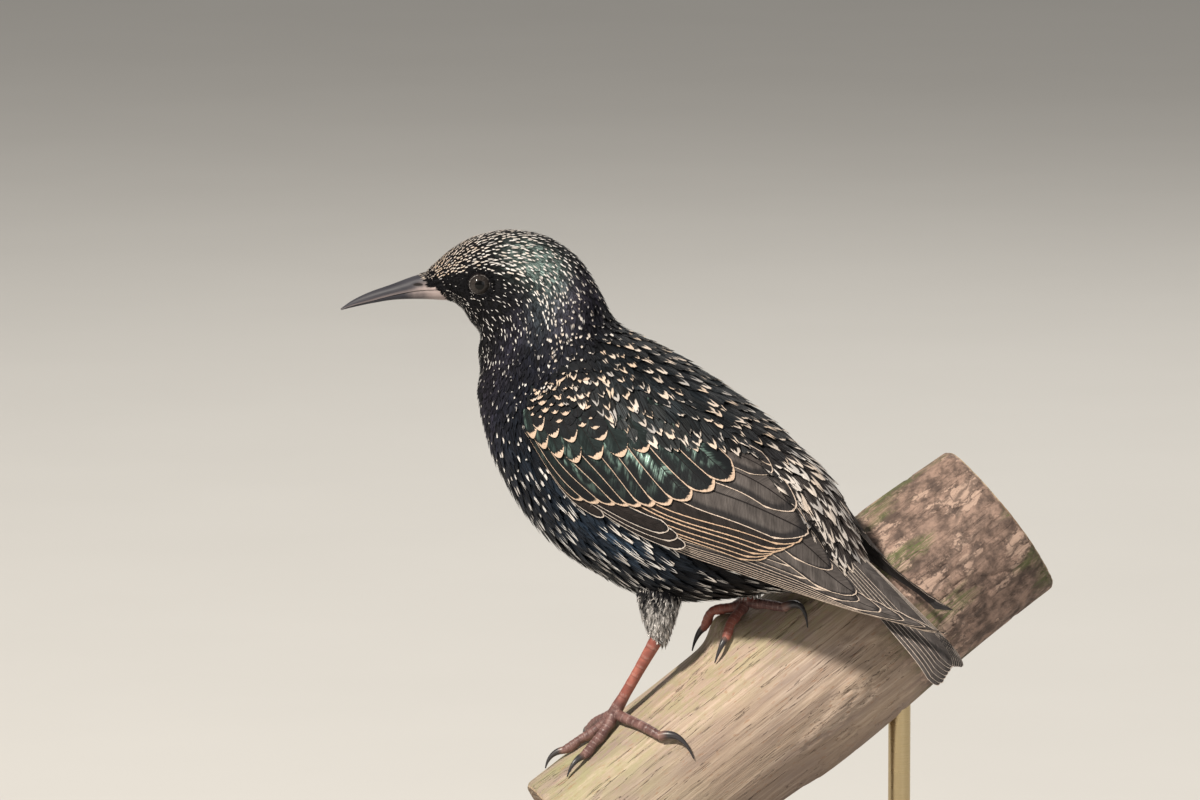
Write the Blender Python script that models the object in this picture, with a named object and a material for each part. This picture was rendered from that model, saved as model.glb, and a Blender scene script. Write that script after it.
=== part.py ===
"""A common starling in winter plumage, life size, standing on a cut length of branch.

The bird faces -X with its left side towards -Y. Its trunk is turned so that the tail comes
towards -Y and it is rolled a little to the left, while its head looks straight along -X.
The branch is held by a flat base and two short rods. The origin is at the centre of the
base's underside, +Z is up, and lengths are metres.
"""

import math

import bmesh
import bpy
from mathutils import Matrix, Vector

MM = 0.001
GAP = 0.3 * MM

# Pose of the bird: the neck's turning point, and the trunk's turn and roll about it
NECK = Vector((-48.0, 11.7, 168.3)) * MM
TRUNK_TURN = math.radians(27)
TRUNK_ROLL = math.radians(11)

# Sections of head, neck and trunk in the bird's own side view, in mm from the neck's
# turning point: the back's point (tailward, up), the belly's, half the width, and the
# share of the trunk's turn that the section takes
BODY_SECTIONS = (
    ((-34.5, 29.2), (-29.0, 21.2), 3.7, 0.00),
    ((-31.2, 32.6), (-25.8, 19.6), 6.4, 0.00),
    ((-26.4, 36.3), (-23.2, 15.6), 8.8, 0.00),
    ((-20.5, 39.0), (-20.4, 11.7), 10.2, 0.00),
    ((-12.4, 40.4), (-21.1, 6.8), 11.3, 0.00),
    ((-3.0, 38.8), (-20.6, 2.1), 12.5, 0.05),
    ((5.9, 33.3), (-21.4, -3.6), 14.4, 0.25),
    ((12.1, 25.1), (-21.1, -8.9), 16.8, 0.55),
    ((17.0, 16.2), (-20.2, -15.2), 19.4, 0.80),
    ((24.5, 12.0), (-18.6, -21.9), 22.6, 0.95),
    ((33.7, 6.9), (-15.5, -28.3), 25.2, 1.00),
    ((42.8, 1.4), (-10.9, -36.0), 26.8, 1.00),
    ((51.9, -4.5), (-5.3, -42.5), 27.6, 1.00),
    ((60.3, -10.0), (1.7, -48.1), 27.6, 1.00),
    ((67.9, -15.5), (11.0, -53.3), 26.6, 1.00),
    ((75.0, -21.5), (21.9, -58.3), 24.2, 1.00),
    ((80.2, -28.6), (35.2, -59.6), 20.6, 1.00),
    ((84.1, -37.3), (49.6, -57.6), 16.6, 1.00),
    ((87.2, -45.5), (64.5, -54.4), 12.4, 1.00),
    ((90.2, -53.1), (79.7, -55.2), 8.0, 1.00),
    ((91.6, -55.0), (88.0, -56.2), 4.0, 1.00),
)
BODY_SIDES = 28
RINGS_PER_SECTION = 1.5
HEAD_END = 6.3
NECK_END = 9.3
SECTION_GAP = 0.065
EGG_SHAPE = 0.10
EGG_FADE_END = 8.0

# Bill in the head's side view, in mm: culmen, mouth line and underside, and half width
BILL_SECTIONS = (
    ((-34.9, 28.7), (-32.2, 24.4), (-29.7, 21.2), 3.5),
    ((-39.3, 27.3), (-37.5, 24.0), (-36.0, 21.5), 3.0),
    ((-44.6, 25.5), (-43.8, 22.7), (-43.0, 21.2), 2.4),
    ((-50.0, 23.7), (-49.5, 21.1), (-49.0, 20.2), 1.8),
    ((-54.6, 21.6), (-54.4, 19.8), (-54.2, 19.1), 1.3),
    ((-57.4, 19.7), (-57.4, 18.9), (-57.0, 18.5), 0.75),
)
MOUTH_HALF_GAP = 0.16

EYE_CENTRE = (-20.4, 8.0, 26.6)
EYE_RADIUS = 3.2

# Rails of the folded wing, in mm: (tailward, up, outward), from the wrist to the tips
WING_UPPER = (
    (3.5, 3.0, 19.8), (14.0, 8.0, 16.5), (31.0, 4.9, 11.0), (47.0, -3.3, 9.4),
    (62.0, -13.5, 9.6), (75.5, -27.5, 12.5), (90.5, -47.0, 11.8), (113.5, -59.5, 8.5),
)
WING_MIDDLE = (
    (2.5, -4.0, 24.0), (14.0, -7.5, 26.4), (30.0, -10.5, 26.2), (46.0, -17.5, 25.4),
    (62.0, -26.0, 23.4), (77.0, -38.2, 19.6), (94.0, -51.6, 14.6), (115.0, -60.6, 9.6),
)
WING_LOWER = (
    (4.5, -11.0, 25.2), (15.0, -22.5, 28.2), (30.0, -28.5, 29.0), (46.0, -35.0, 28.3),
    (62.0, -41.8, 25.0), (78.0, -49.0, 20.4), (95.0, -55.2, 15.2), (113.5, -61.8, 9.5),
)
WING_THICK_FRONT = 2.6
WING_THICK_TIP = 0.9
WING_THIN_REACH = 0.87
WING_THIN_CURVE = 0.7
WING_ROWS = 20
WING_COLUMNS = 8
FAR_WING_SHORTER = 5.5
WING_POCKET_REACH = 5.0
POCKET_MARGIN = 0.4

# Ridge of the closed tail in side view, its half width, droop of its edges, thickness
TAIL_STATIONS = (
    ((74.0, -34.5), 7.5, 1.0, 2.4),
    ((86.0, -45.5), 9.5, 1.5, 2.2),
    ((97.0, -56.2), 10.5, 2.0, 1.8),
    ((107.5, -67.0), 11.2, 2.3, 1.4),
    ((111.0, -71.6), 9.6, 2.0, 1.2),
    ((112.6, -74.4), 5.5, 0.8, 1.0),
)
TAIL_SWAY = -1.4

# Branch: a straight cut length, tilted and turned, in the world's own axes
PERCH_CENTRE = Vector((15.2, 11.0, 84.9)) * MM
PERCH_PITCH = math.radians(36.5)
PERCH_TURN = math.radians(13)
PERCH_RADIUS = 23.5
PERCH_LENGTH = 146.0
PERCH_RINGS = 15
PERCH_SIDES = 28
PERCH_KNOT_ALONG = -5.0
PERCH_KNOT_HEIGHT = 4.0
PERCH_KNOT_LENGTH = 5.0
PERCH_KNOT_SPREAD = math.radians(24)

# Low waves in the branch's surface: height in mm, how many go round it, how far they turn
# per mm along it, and where they start
PERCH_WAVES = (
    (0.70, 0, 0.045, 0.8),
    (0.45, 3, 0.050, 0.0),
    (0.30, 5, -0.080, 0.0),
)
PERCH_AXIS = Vector((
    math.cos(PERCH_PITCH) * math.cos(PERCH_TURN),
    math.cos(PERCH_PITCH) * math.sin(PERCH_TURN),
    math.sin(PERCH_PITCH),
))
PERCH_TOP = (Vector((0, 0, 1)) - PERCH_AXIS * PERCH_AXIS.z).normalized()
PERCH_NEAR = PERCH_AXIS.cross(PERCH_TOP)

# Feet on the branch: (along the branch in mm, angle from its top towards the viewer)
HUB_RADIUS = 2.0
HUB_LIFT = 2.9
TOE_RADIUS = 1.35
TOE_TIP_RADIUS = 1.0
CLAW_RADIUS = 0.95
CLAW_TIP_RADIUS = 0.28
TOE_START = 4.3
CLAW_ROOT_GAP = 0.5
CLAW_ARCH = 2.4
CLAW_RISE = 0.9
FEET = {
    "left": {
        "hub": (-43.0, 6.0),
        "toes": {1: (-38.0, 50.0), 2: (-50.0, -30.0), 3: (-60.0, -8.0), 4: (-57.5, 20.0)},
        "claws": {1: (-35.0, 73.0), 2: (-53.0, -46.0), 3: (-66.3, -10.0), 4: (-64.0, 24.0)},
    },
    "right": {
        "hub": (3.5, 9.0),
        "toes": {1: (10.0, 34.0), 2: (-3.0, -32.0), 3: (-9.5, -9.0), 4: (-8.0, 25.0)},
        "claws": {1: (11.0, 52.0), 2: (-7.0, -46.0), 3: (-15.5, -10.0), 4: (-14.0, 29.0)},
    },
}

# Feathered thighs in the trunk's frame: centre (tailward, outward, up), radii fore and aft
# and sideways, in mm
THIGHS = {
    "left": (
        ((34.0, -12.5, -45.0), 8.0, 6.0),
        ((33.0, -13.5, -53.0), 6.9, 5.6),
        ((32.7, -14.5, -59.0), 5.6, 4.8),
        ((32.5, -15.0, -64.3), 3.8, 3.4),
        ((32.4, -15.0, -67.4), 2.6, 2.5),
    ),
    "right": (
        ((50.0, 10.0, -44.0), 7.0, 5.5),
        ((50.5, 7.5, -50.0), 6.4, 5.2),
        ((51.0, 5.0, -55.0), 5.0, 4.4),
        ((51.4, 3.5, -58.6), 3.4, 3.2),
    ),
}
SHANK_TOPS = {"left": (33.0, -15.0, -64.4), "right": (51.4, 4.6, -55.6)}
SHANK_RADIUS_TOP = 1.65
SHANK_RADIUS_MIDDLE = 1.3

# Display stand
BASE_LENGTH = 150.0
BASE_DEPTH = 108.0
BASE_THICKNESS = 9.0
BASE_CORNER = 30.0
BASE_CENTRE_Y = 6.0
ROD_RADIUS = 3.0
ROD_DEPTH_IN_BASE = 6.0
ROD_DEPTH_IN_PERCH = 8.0
ROD_ALONG = {"low": -50.0, "high": 38.0}

COLOURS = {
    "plumage": ((0.020, 0.024, 0.028, 1), 0.42, 0.0),
    "wing": ((0.060, 0.052, 0.048, 1), 0.45, 0.0),
    "bill": ((0.090, 0.075, 0.070, 1), 0.38, 0.0),
    "eye": ((0.030, 0.022, 0.018, 1), 0.06, 0.0),
    "leg": ((0.300, 0.095, 0.060, 1), 0.45, 0.0),
    "claw": ((0.020, 0.018, 0.018, 1), 0.35, 0.0),
    "bark": ((0.400, 0.290, 0.200, 1), 0.85, 0.0),
    "base": ((0.055, 0.030, 0.020, 1), 0.35, 0.0),
    "rod": ((0.450, 0.360, 0.220, 1), 0.30, 1.0),
}

for stray in list(bpy.data.objects):
    bpy.data.objects.remove(stray, do_unlink=True)

starling = bpy.data.collections.new("starling")
cutters = bpy.data.collections.new("cutters")
bpy.context.scene.collection.children.link(starling)
bpy.context.scene.collection.children.link(cutters)


# Materials and objects

def material(name):
    found = bpy.data.materials.get(name)
    if found:
        return found
    colour, roughness, metallic = COLOURS[name]
    made = bpy.data.materials.new(name)
    made.use_nodes = True
    shader = made.node_tree.nodes["Principled BSDF"]
    shader.inputs["Base Color"].default_value = colour
    shader.inputs["Roughness"].default_value = roughness
    shader.inputs["Metallic"].default_value = metallic
    made.diffuse_color = colour
    return made


def new_object(name, mesh_data, finish, collection=None):
    """An object from a bmesh, with its faces pointing out and shaded smooth."""
    bmesh.ops.recalc_face_normals(mesh_data, faces=mesh_data.faces)
    mesh = bpy.data.meshes.new(name)
    mesh_data.to_mesh(mesh)
    mesh_data.free()
    mesh.shade_smooth()
    mesh.set_sharp_from_angle(angle=math.radians(50))
    made = bpy.data.objects.new(name, mesh)
    (collection or starling).objects.link(made)
    if finish:
        mesh.materials.append(material(finish))
    return made


def as_cutter(made):
    made.hide_render = True
    made.display_type = "WIRE"
    return made


def cut(target, cutter):
    boolean = target.modifiers.new("cut by " + cutter.name, "BOOLEAN")
    boolean.operation = "DIFFERENCE"
    boolean.solver = "EXACT"
    boolean.object = cutter


# The bird's own frame

def posed(tailward, right, up, turn=1.0):
    """A point of the bird, in mm from the neck's turning point, placed in the world."""
    yaw = TRUNK_TURN * turn
    roll = TRUNK_ROLL * turn
    tail_axis = Vector((math.cos(yaw), -math.sin(yaw), 0))
    level_right = Vector((math.sin(yaw), math.cos(yaw), 0))
    right_axis = level_right * math.cos(roll) + Vector((0, 0, math.sin(roll)))
    up_axis = tail_axis.cross(right_axis)
    return NECK + (tail_axis * tailward + right_axis * right + up_axis * up) * MM


def eased(values, place):
    """A smooth curve through equally spaced values, read at a place from 0 to their count."""
    last = len(values) - 1
    start = min(max(int(math.floor(place)), 0), last - 1)
    step = place - start
    four = [Vector(values[min(max(start + k, 0), last)]) for k in (-1, 0, 1, 2)]
    before, here, there, after = four
    return 0.5 * (
        2 * here
        + (there - before) * step
        + (2 * before - 5 * here + 4 * there - after) * step ** 2
        + (3 * here - before - 3 * there + after) * step ** 3
    )


def lofted(rings, plate=False):
    """A closed bmesh through rings of points. Each end has a flat cap, or on a plate, whose
    rings run along one face and back along the other, a strip between the two faces."""
    solid = bmesh.new()
    rows = [[solid.verts.new(point) for point in ring] for ring in rings]
    count = len(rows[0])
    for near, far in zip(rows, rows[1:]):
        for k in range(count):
            after = (k + 1) % count
            solid.faces.new((near[k], near[after], far[after]))
            solid.faces.new((near[k], far[after], far[k]))
    for end in (rows[0], rows[-1]):
        if plate:
            for k in range(count // 2 - 1):
                solid.faces.new((end[k], end[k + 1], end[count - 2 - k], end[count - 1 - k]))
        else:
            solid.faces.new(end)
    return solid


# Head, neck and trunk

def body_ring(place):
    """One ring of the body's surface, round from the back over the right side."""
    rows = [(*back, *belly, half, turn) for back, belly, half, turn in BODY_SECTIONS]
    pairs = eased([row[0:3] for row in rows], place), eased([row[3:6] for row in rows], place)
    (back_x, back_z, belly_x), (belly_z, half, turn) = pairs
    middle = Vector(((back_x + belly_x) / 2, (back_z + belly_z) / 2))
    arm = Vector(((back_x - belly_x) / 2, (back_z - belly_z) / 2))
    egg = EGG_SHAPE * max(0.0, 1 - place / EGG_FADE_END)
    ring = []
    for k in range(BODY_SIDES):
        angle = 2 * math.pi * k / BODY_SIDES
        side = middle + arm * math.cos(angle)
        width = half * math.sin(angle) * (1 - egg * math.cos(angle))
        ring.append(posed(side.x, width, side.y, turn))
    return ring


def body_part(name, start, end):
    steps = round((end - start) * RINGS_PER_SECTION)
    places = [start + (end - start) * k / steps for k in range(steps + 1)]
    return new_object(name, lofted([body_ring(place) for place in places]), "plumage")


def make_body():
    end = len(BODY_SECTIONS) - 1
    head = body_part("head", 0, HEAD_END)
    neck = body_part("neck", HEAD_END + SECTION_GAP, NECK_END)
    trunk = body_part("trunk", NECK_END + SECTION_GAP, end)
    return head, neck, trunk


# Bill and eyes

def half_ring(edge, mouth, half, upper, count=9):
    """A half-round section from the mouth line to the edge of one half of the bill."""
    shift = (Vector(edge) - Vector(mouth)).normalized() * MOUTH_HALF_GAP
    foot = Vector(mouth) + shift
    rise = Vector(edge) - foot
    points = []
    for k in range(count):
        angle = math.pi * k / (count - 1)
        side = foot + rise * math.sin(angle)
        points.append(posed(side.x, half * math.cos(angle), side.y, 0))
    return points if upper else list(reversed(points))


def make_bill():
    upper_rings = []
    lower_rings = []
    for place in range(2 * len(BILL_SECTIONS) - 1):
        rows = [(*culmen, *mouth, *chin, half) for culmen, mouth, chin, half in BILL_SECTIONS]
        first = eased([row[0:3] for row in rows], place / 2)
        second = eased([row[3:6] for row in rows], place / 2)
        half = eased([(row[6], 0) for row in rows], place / 2)[0]
        culmen = (first[0], first[1])
        mouth = (first[2], second[0])
        chin = (second[1], second[2])
        upper_rings.append(half_ring(culmen, mouth, half, True))
        lower_rings.append(half_ring(chin, mouth, half * 0.94, False))
    new_object("bill_upper", lofted(upper_rings), "bill")
    new_object("bill_lower", lofted(lower_rings), "bill")


def ball(name, centre, radius, finish, collection=None):
    solid = bmesh.new()
    bmesh.ops.create_uvsphere(
        solid, u_segments=16, v_segments=10, radius=radius * MM,
        matrix=Matrix.Translation(centre) @ Matrix.Rotation(math.pi / 2, 4, "X"),
    )
    return new_object(name, solid, finish, collection)


def make_eyes(head):
    tailward, outward, up = EYE_CENTRE
    for name, side in (("left", -1), ("right", 1)):
        centre = posed(tailward, side * outward, up, 0)
        ball("eye_" + name, centre, EYE_RADIUS, "eye")
        socket = ball("socket_" + name, centre, EYE_RADIUS + GAP / MM, None, cutters)
        cut(head, as_cutter(socket))


# Wings

def wing_point(along, across, side):
    """A point of the folded wing's outer face, in the trunk's frame."""
    place = along * (len(WING_UPPER) - 1)
    upper, middle, lower = (eased(rail, place) for rail in (WING_UPPER, WING_MIDDLE, WING_LOWER))
    tailward, up, outward = (
        upper * ((1 - across) * (1 - 2 * across))
        + middle * (4 * across * (1 - across))
        + lower * (across * (2 * across - 1))
    )
    if side > 0:
        tailward -= FAR_WING_SHORTER * max(0.0, along) ** 2
    return Vector((tailward, side * outward, up))


def wing_normal(along, across, side):
    """The direction out of the wing's outer face, in the trunk's frame."""
    step = 0.01
    lengthwise = wing_point(along + step, across, side) - wing_point(along - step, across, side)
    crosswise = wing_point(along, across + step, side) - wing_point(along, across - step, side)
    normal = lengthwise.cross(crosswise).normalized()
    return normal if normal.y * side > 0 else -normal


def wing_thickness(along):
    thinned = min(max(along / WING_THIN_REACH, 0.0), 1.0) ** WING_THIN_CURVE
    return WING_THICK_FRONT + (WING_THICK_TIP - WING_THICK_FRONT) * thinned


def rim_push(grid, row, column):
    """At the edge of a grid of points, the direction outwards along the surface."""
    push = Vector((0, 0, 0))
    last_row = len(grid) - 1
    last_column = len(grid[0]) - 1
    here = grid[row][column]
    if column in (0, last_column):
        inner = grid[row][1 if column == 0 else last_column - 1]
        rim = (grid[min(row + 1, last_row)][column] - grid[max(row - 1, 0)][column]).normalized()
        away = here - inner
        push += (away - rim * rim.dot(away)).normalized()
    if row in (0, last_row):
        inner = grid[1 if row == 0 else last_row - 1][column]
        push += (here - inner).normalized()
    return push


def wing_shell(side, grow, reach):
    """The wing as a closed curved plate, grown by a margin and reaching outwards for a cutter."""
    spots = [
        [(row / (WING_ROWS - 1), column / (WING_COLUMNS - 1)) for column in range(WING_COLUMNS)]
        for row in range(WING_ROWS)
    ]
    grid = [[wing_point(along, across, side) for along, across in line] for line in spots]
    rings = []
    for row, line in enumerate(spots):
        outer = []
        inner = []
        for column, (along, across) in enumerate(line):
            normal = wing_normal(along, across, side)
            face = grid[row][column] + rim_push(grid, row, column) * grow
            outer.append(posed(*(face + normal * reach)))
            inner.append(posed(*(face - normal * (wing_thickness(along) + grow))))
        rings.append(outer + list(reversed(inner)))
    return lofted(rings, plate=True)


def make_wings(trunk, neck):
    for name, side in (("left", -1), ("right", 1)):
        new_object("wing_" + name, wing_shell(side, 0.0, 0.0), "wing")
        pocket = wing_shell(side, POCKET_MARGIN, WING_POCKET_REACH)
        pocket = as_cutter(new_object("wing_pocket_" + name, pocket, None, cutters))
        cut(trunk, pocket)
        cut(neck, pocket)


# Tail

def tail_shell(grow):
    rows = [(*ridge, half, droop, thick) for ridge, half, droop, thick in TAIL_STATIONS]
    rings = []
    steps = 2 * (len(rows) - 1)
    for step in range(steps + 1):
        place = step / steps * (len(rows) - 1)
        x, z, half = eased([row[0:3] for row in rows], place)
        droop, thick = eased([row[3:5] for row in rows], place)
        ahead = eased([row[0:2] for row in rows], min(place + 0.05, len(rows) - 1))
        behind = eased([row[0:2] for row in rows], max(place - 0.05, 0))
        along = (ahead - behind).normalized()
        normal = Vector((-along.y, along.x))
        if step in (0, steps):
            x += along.x * grow * (1 if step else -1)
            z += along.y * grow * (1 if step else -1)
        top = []
        bottom = []
        for k in range(9):
            share = k / 4 - 1
            sink = -droop * share ** 2
            above = Vector((x, z)) + normal * (sink + grow)
            below = Vector((x, z)) + normal * (sink - thick - grow)
            aside = share * (half + grow) + TAIL_SWAY * place / (len(rows) - 1)
            top.append(posed(above.x, aside, above.y))
            bottom.append(posed(below.x, aside, below.y))
        rings.append(top + list(reversed(bottom)))
    return lofted(rings, plate=True)


def make_tail(trunk):
    new_object("tail", tail_shell(0.0), "wing")
    slot = as_cutter(new_object("tail_slot", tail_shell(GAP / MM), None, cutters))
    cut(trunk, slot)


# Branch

def perch_radius(along, angle):
    """The branch's radius in mm: nearly round, with low waves and a knot under a foot."""
    waves = sum(
        height * math.sin(number * angle + along * turning + start)
        for height, number, turning, start in PERCH_WAVES
    )
    turn = math.remainder(angle, 2 * math.pi) / PERCH_KNOT_SPREAD
    run = (along - PERCH_KNOT_ALONG) / PERCH_KNOT_LENGTH
    return PERCH_RADIUS + waves + PERCH_KNOT_HEIGHT * math.exp(-turn ** 2 - run ** 2)


def perch_point(along, angle, lift=0.0):
    """A point over the branch: mm along it, angle from its top towards the viewer."""
    outward = PERCH_TOP * math.cos(angle) + PERCH_NEAR * math.sin(angle)
    reach = perch_radius(along, angle) + lift
    return PERCH_CENTRE + (PERCH_AXIS * along + outward * reach) * MM


def make_perch():
    rings = []
    half = PERCH_LENGTH / 2
    for ring in range(PERCH_RINGS):
        along = -half + PERCH_LENGTH * ring / (PERCH_RINGS - 1)
        angles = [2 * math.pi * k / PERCH_SIDES for k in range(PERCH_SIDES)]
        rings.append([perch_point(along, angle) for angle in angles])
    return new_object("perch", lofted(rings), "bark")


# Legs

def tube(points, radii, sides=10):
    """A closed tube of changing radius along a list of points."""
    rings = []
    last = len(points) - 1
    guide = Vector((0, 1, 0))
    for index, (point, radius) in enumerate(zip(points, radii)):
        along = (points[min(index + 1, last)] - points[max(index - 1, 0)]).normalized()
        across = guide - along * guide.dot(along)
        across.normalize()
        up = along.cross(across)
        guide = across
        ring = []
        for k in range(sides):
            angle = 2 * math.pi * k / sides
            offset = across * math.cos(angle) + up * math.sin(angle)
            ring.append(point + offset * (radius * MM))
        rings.append(ring)
    return lofted(rings)


def hub_point(side):
    along, angle = FEET[side]["hub"]
    return perch_point(along, math.radians(angle), HUB_LIFT)


def shank_tube(side, grow):
    """The bare shank from inside the thigh down to the ball of the foot."""
    top = posed(*SHANK_TOPS[side])
    hub = hub_point(side)
    down = hub - top
    shares = (0.0, 0.1, 0.25, 0.5, 0.75, 0.88, 1.0)
    radii = (
        SHANK_RADIUS_TOP, SHANK_RADIUS_TOP, SHANK_RADIUS_MIDDLE + 0.1, SHANK_RADIUS_MIDDLE,
        SHANK_RADIUS_MIDDLE, SHANK_RADIUS_MIDDLE + 0.4, HUB_RADIUS,
    )
    points = [top + down * share for share in shares]
    points[0] -= down.normalized() * grow * MM
    points.append(hub + down.normalized() * HUB_RADIUS * 0.55 * MM)
    radii = [radius + grow for radius in radii] + [HUB_RADIUS * 0.72 + grow]
    return tube(points, radii)


def make_legs(trunk):
    for side, stations in THIGHS.items():
        for grow, finish in ((0.0, "plumage"), (GAP / MM, None)):
            rings = []
            for (x, right, z), fore, wide in stations:
                angles = [2 * math.pi * k / 16 for k in range(16)]
                rings.append([
                    posed(x + (fore + grow) * math.cos(a), right + (wide + grow) * math.sin(a), z)
                    for a in angles
                ])
            solid = lofted(rings)
            if finish:
                thigh = new_object("thigh_" + side, solid, finish)
            else:
                pocket = new_object("thigh_pocket_" + side, solid, None, cutters)
                cut(trunk, as_cutter(pocket))
        new_object("shank_" + side, shank_tube(side, 0.0), "leg")
        bore = as_cutter(new_object("shank_bore_" + side, shank_tube(side, GAP / MM), None, cutters))
        cut(thigh, bore)
        cut(trunk, bore)


# Feet

def make_feet():
    for side, foot in FEET.items():
        hub = hub_point(side)
        hub_along, hub_angle = foot["hub"]
        for toe, (tip_along, tip_angle) in foot["toes"].items():
            points = []
            radii = []
            rings = 8
            for k in range(rings + 1):
                share = k / rings
                radius = TOE_RADIUS + (TOE_TIP_RADIUS - TOE_RADIUS) * share
                along = hub_along + (tip_along - hub_along) * share
                angle = math.radians(hub_angle + (tip_angle - hub_angle) * share)
                arch = (HUB_LIFT - radius) * max(0.0, 1 - 2.2 * share) ** 2
                points.append(perch_point(along, angle, radius + GAP / MM + arch))
                radii.append(radius)
            kept = [k for k, point in enumerate(points) if (point - hub).length > TOE_START * MM]
            start = hub + (points[kept[0]] - hub).normalized() * TOE_START * MM
            path = [start] + [points[k] for k in kept]
            widths = [TOE_RADIUS] + [radii[k] for k in kept]
            new_object(f"toe_{side}_{toe}", tube(path, widths, 7), "leg")
            make_claw(side, toe, foot["claws"][toe], path)


def make_claw(side, toe, end, toe_path):
    """A claw from the toe's end, arching over and down to the branch."""
    heading = (toe_path[-1] - toe_path[-2]).normalized()
    root = toe_path[-1] + heading * (CLAW_ROOT_GAP * MM)
    tip = perch_point(end[0], math.radians(end[1]), CLAW_TIP_RADIUS + GAP / MM)
    away = (root - PERCH_CENTRE) - PERCH_AXIS * PERCH_AXIS.dot(root - PERCH_CENTRE)
    crest = root + heading * (CLAW_ARCH * MM) + away.normalized() * (CLAW_RISE * MM)
    points = []
    radii = []
    rings = 5
    for k in range(rings + 1):
        share = k / rings
        points.append(
            root * (1 - share) ** 2 + crest * (2 * share * (1 - share)) + tip * share ** 2
        )
        radii.append(CLAW_RADIUS + (CLAW_TIP_RADIUS - CLAW_RADIUS) * share)
    new_object(f"claw_{side}_{toe}", tube(points, radii, 6), "claw")


# Stand

def rod_foot(name):
    """The point on the branch's axis straight above a rod."""
    return PERCH_CENTRE + PERCH_AXIS * (ROD_ALONG[name] * MM)


def upright(name, centre, low, high, radius, finish, collection=None):
    solid = bmesh.new()
    bmesh.ops.create_cone(
        solid, cap_ends=True, segments=24, radius1=radius * MM, radius2=radius * MM,
        depth=high - low, matrix=Matrix.Translation((centre.x, centre.y, (low + high) / 2)),
    )
    return new_object(name, solid, finish, collection)


def make_stand(perch):
    solid = bmesh.new()
    bmesh.ops.create_cube(solid, size=1.0)
    bmesh.ops.scale(solid, vec=Vector((BASE_LENGTH, BASE_DEPTH, BASE_THICKNESS)) * MM, verts=solid.verts)
    bmesh.ops.translate(
        solid, vec=Vector((0, BASE_CENTRE_Y, BASE_THICKNESS / 2)) * MM, verts=solid.verts
    )
    upright_edges = [e for e in solid.edges if abs(e.verts[0].co.z - e.verts[1].co.z) > MM]
    bmesh.ops.bevel(
        solid, geom=upright_edges, offset=BASE_CORNER * MM, segments=6, profile=0.5, affect="EDGES"
    )
    base = new_object("stand_base", solid, "base")
    for name in ROD_ALONG:
        centre = rod_foot(name)
        underside = centre.z - PERCH_RADIUS * MM / math.cos(PERCH_PITCH)
        low = (BASE_THICKNESS - ROD_DEPTH_IN_BASE) * MM
        high = underside + ROD_DEPTH_IN_PERCH * MM
        upright("stand_rod_" + name, centre, low, high, ROD_RADIUS, "rod")
        bore = upright(
            "rod_bore_" + name, centre, low - GAP, high + GAP, ROD_RADIUS + GAP / MM, None, cutters
        )
        as_cutter(bore)
        cut(perch, bore)
        cut(base, bore)


def main():
    head, neck, trunk = make_body()
    make_bill()
    make_eyes(head)
    make_wings(trunk, neck)
    make_tail(trunk)
    perch = make_perch()
    make_legs(trunk)
    make_feet()
    make_stand(perch)


main()
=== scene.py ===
"""A common starling in winter plumage, life size, standing on a cut length of branch.

Shapes are worked out in millimetres in the frame of the solids and become meshes in metres.
The bird faces -X with its left side towards the camera. Its skin is one closed mesh, and its
feathers are thin closed vanes that lie over it along the body, the wings and the tail.
"""

import math

import bmesh
import bpy
import numpy as np
from mathutils import Matrix, Vector
from mathutils.bvhtree import BVHTree
from mathutils.kdtree import KDTree


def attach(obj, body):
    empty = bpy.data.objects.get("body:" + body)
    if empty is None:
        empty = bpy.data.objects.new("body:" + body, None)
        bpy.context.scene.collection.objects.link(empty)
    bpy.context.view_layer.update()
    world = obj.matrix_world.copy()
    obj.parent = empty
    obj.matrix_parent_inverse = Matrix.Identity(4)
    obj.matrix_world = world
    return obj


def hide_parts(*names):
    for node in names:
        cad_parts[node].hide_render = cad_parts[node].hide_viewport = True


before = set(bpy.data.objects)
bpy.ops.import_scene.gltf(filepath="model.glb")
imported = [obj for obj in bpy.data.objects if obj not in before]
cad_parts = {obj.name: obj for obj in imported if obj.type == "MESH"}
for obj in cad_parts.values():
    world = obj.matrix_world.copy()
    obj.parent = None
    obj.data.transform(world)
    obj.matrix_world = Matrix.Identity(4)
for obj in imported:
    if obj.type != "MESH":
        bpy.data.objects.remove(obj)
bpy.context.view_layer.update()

MM = 0.001
BODY = "root"
chance = np.random.default_rng(7)


# Camera, floor and light

CAMERA_PLACE = Vector((-0.03618, -2.65392, 0.53698))
CAMERA_ELEVATION = math.radians(8)
CAMERA_LENS = 300.0


def make_camera():
    data = bpy.data.cameras.new("photo view")
    data.lens = CAMERA_LENS
    data.sensor_width = 36.0
    data.clip_end = 30.0
    camera = bpy.data.objects.new("photo view", data)
    camera.location = CAMERA_PLACE
    camera.rotation_euler = (math.pi / 2 - CAMERA_ELEVATION, 0, 0)
    bpy.context.scene.collection.objects.link(camera)
    bpy.context.scene.camera = camera


def soft_light(name, place, aim, size, watts, colour):
    data = bpy.data.lights.new(name, "AREA")
    data.shape = "DISK"
    data.size = size
    data.energy = watts
    data.color = colour
    lamp = bpy.data.objects.new(name, data)
    lamp.location = place
    lamp.rotation_euler = (Vector(aim) - Vector(place)).to_track_quat("-Z", "Y").to_euler()
    bpy.context.scene.collection.objects.link(lamp)


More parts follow.
